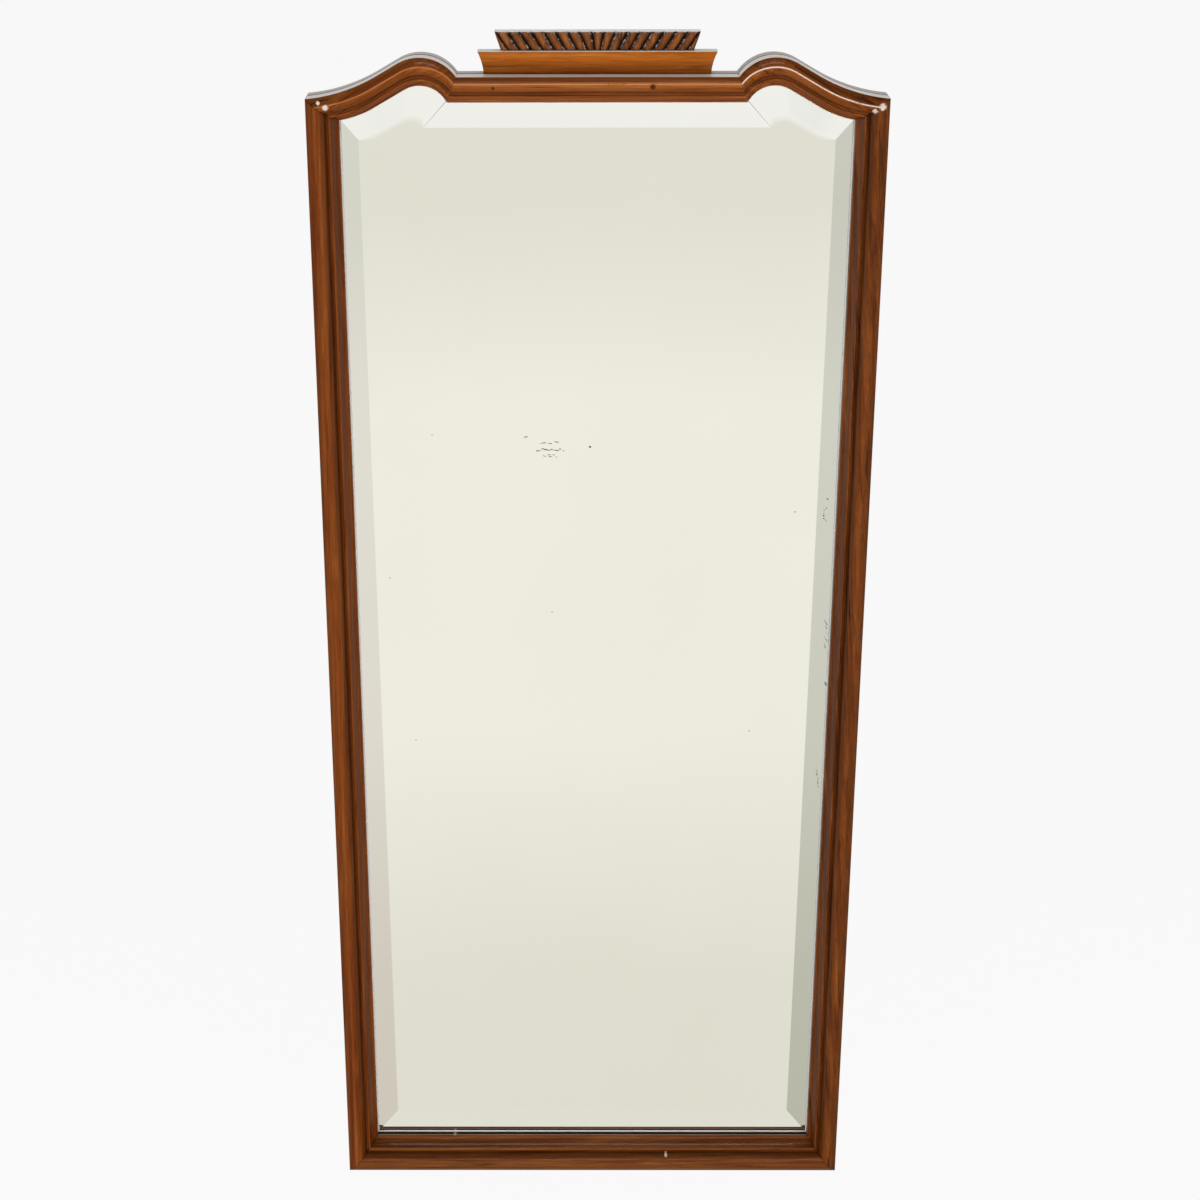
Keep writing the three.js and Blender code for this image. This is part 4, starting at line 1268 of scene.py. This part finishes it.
SKYLIGHT = 0.42
WHITE = srgb(255, 255, 255)
PAPER_TONES = (  # by height, from straight down at 0 to straight up at 1
    (0.0, srgb(170, 166, 158)),
    (0.12, srgb(212, 206, 196)),
    (0.2, srgb(219, 214, 203)),
    (0.207, srgb(226, 224, 212)),
    (0.24, srgb(228, 226, 214)),
    (0.285, srgb(241, 239, 228)),
    (0.35, srgb(241, 239, 228)),
    (0.39, srgb(229, 227, 215)),
    (0.42, srgb(228, 226, 214)),
    (0.46, srgb(243, 243, 238)),
    (0.51, srgb(244, 244, 240)),
    (0.53, WHITE),
    (0.555, WHITE),
    (0.58, srgb(190, 188, 186)),
    (1.0, srgb(150, 150, 150)),
)
LEFT_SHADES = ((0.21, (0.84, 0.79, 0.79, 1.0)), (0.42, (0.89, 0.905, 0.92, 1.0)))
RIGHT_SHADES = ((0.21, (0.64, 0.655, 0.62, 1.0)), (0.42, (0.79, 0.805, 0.815, 1.0)))

LEAST_AHEAD = 0.001  # keeps the division apart from zero


def build_world():
    """White for the camera and grey for light. What shines mirrors paper that fades to both sides."""
    world = bpy.data.worlds.new("studio")
    bpy.context.scene.world = world
    world.use_nodes = True
    tree = world.node_tree
    tree.nodes.clear()
    path = add_node(tree, "ShaderNodeLightPath")
    to_x, to_y, to_z = axes(tree, add_node(tree, "ShaderNodeTexCoord").outputs["Generated"])
    height = math_node(tree, "ADD", product(tree, to_z, 0.5), 0.5)
    tone = ramp(tree, height, PAPER_TONES)
    ahead = math_node(tree, "MAXIMUM", product(tree, to_y, -1.0), LEAST_AHEAD)
    aside = math_node(tree, "DIVIDE", to_x, ahead)
    to_left = ramp(tree, product(tree, aside, -1.0), [(0.13, 0.0), (0.25, 1.0)])
    to_right = ramp(tree, aside, [(0.15, 0.0), (0.28, 1.0)])
    left_tone = mixed(tree, 1.0, tone, ramp(tree, height, LEFT_SHADES), "MULTIPLY")
    right_tone = mixed(tree, 1.0, tone, ramp(tree, height, RIGHT_SHADES), "MULTIPLY")
    shaded = mixed(tree, to_right, mixed(tree, to_left, tone, left_tone), right_tone)
    seen = mixed(tree, above(tree, to_y, 0.0), shaded, WHITE)
    plain = add_node(tree, "ShaderNodeBackground", {"Color": WHITE, "Strength": SKYLIGHT})
    mirrored = add_node(tree, "ShaderNodeBackground", {"Color": seen, "Strength": 1.0})
    white = add_node(tree, "ShaderNodeBackground", {"Color": WHITE, "Strength": 1.0})
    by_gloss = add_node(
        tree,
        "ShaderNodeMixShader",
        {0: path.outputs["Is Glossy Ray"], 1: plain.outputs[0], 2: mirrored.outputs[0]},
    )
    by_camera = add_node(
        tree,
        "ShaderNodeMixShader",
        {0: path.outputs["Is Camera Ray"], 1: by_gloss.outputs[0], 2: white.outputs[0]},
    )
    add_node(tree, "ShaderNodeOutputWorld", {"Surface": by_camera.outputs[0]})


FLOOR_REACH = 30.0
FLOOR_DROP = 0.45  # below the mirror's bottom edge
FLOOR_GLOW = 0.9  # share of white that the camera sees, beside the shadow


def build_floor():
    """A pale floor some way below the hanging mirror. It shows white and keeps the mirror's soft shadow."""
    material, tree, shader = new_material("pale_floor")
    shader.inputs["Base Color"].default_value = srgb(245, 245, 245)
    shader.inputs["Roughness"].default_value = 0.9
    shader.inputs["Specular IOR Level"].default_value = 0.0
    path = add_node(tree, "ShaderNodeLightPath")
    glow = add_node(tree, "ShaderNodeEmission", {"Color": WHITE, "Strength": 1.0})
    lit = product(tree, path.outputs["Is Camera Ray"], FLOOR_GLOW)
    shown = add_node(tree, "ShaderNodeMixShader", {0: lit, 1: shader.outputs[0], 2: glow.outputs[0]})
    tree.links.new(shown.outputs[0], tree.nodes["Material Output"].inputs["Surface"])
    mesh = bpy.data.meshes.new("floor")
    far, low = FLOOR_REACH, -RING_Z * MM - FLOOR_DROP
    corners = [(-far, -far, low), (far, -far, low), (far, far, low), (-far, far, low)]
    mesh.from_pydata(corners, [], [(0, 1, 2, 3)])
    floor = bpy.data.objects.new("floor", mesh)
    bpy.context.collection.objects.link(floor)
    mesh.materials.append(material)
    floor.visible_glossy = False


def build_camera():
    data = bpy.data.cameras.new("camera")
    data.sensor_width = SENSOR_MM
    data.lens = FOCAL_PX / FRAME_PX * SENSOR_MM
    data.shift_x = (FRAME_PX / 2 - PRINCIPAL_PX) / FRAME_PX
    camera = bpy.data.objects.new("camera", data)
    camera.location = metres(CAMERA_AT)
    turned = Matrix.Rotation(CAMERA_YAW, 3, "Z") @ Matrix.Rotation(math.pi / 2 - CAMERA_PITCH, 3, "X")
    camera.rotation_euler = (turned @ Matrix.Rotation(CAMERA_ROLL, 3, "Z")).to_euler()
    bpy.context.collection.objects.link(camera)
    bpy.context.scene.camera = camera


def build_stage():
    bpy.context.scene.view_settings.view_transform = "Standard"
    build_world()
    build_floor()
    for softbox in SOFTBOXES:
        area_light(*softbox)


build_camera()
build_stage()
build_moulding()
build_back_frame()
build_plate()
build_specks()
build_crest_base()
build_gadroon()
brass = aged_metal("dulled_brass", srgb(176, 140, 82), srgb(104, 78, 44), 0.3)
build_rings(brass)
dress_cad(brass)
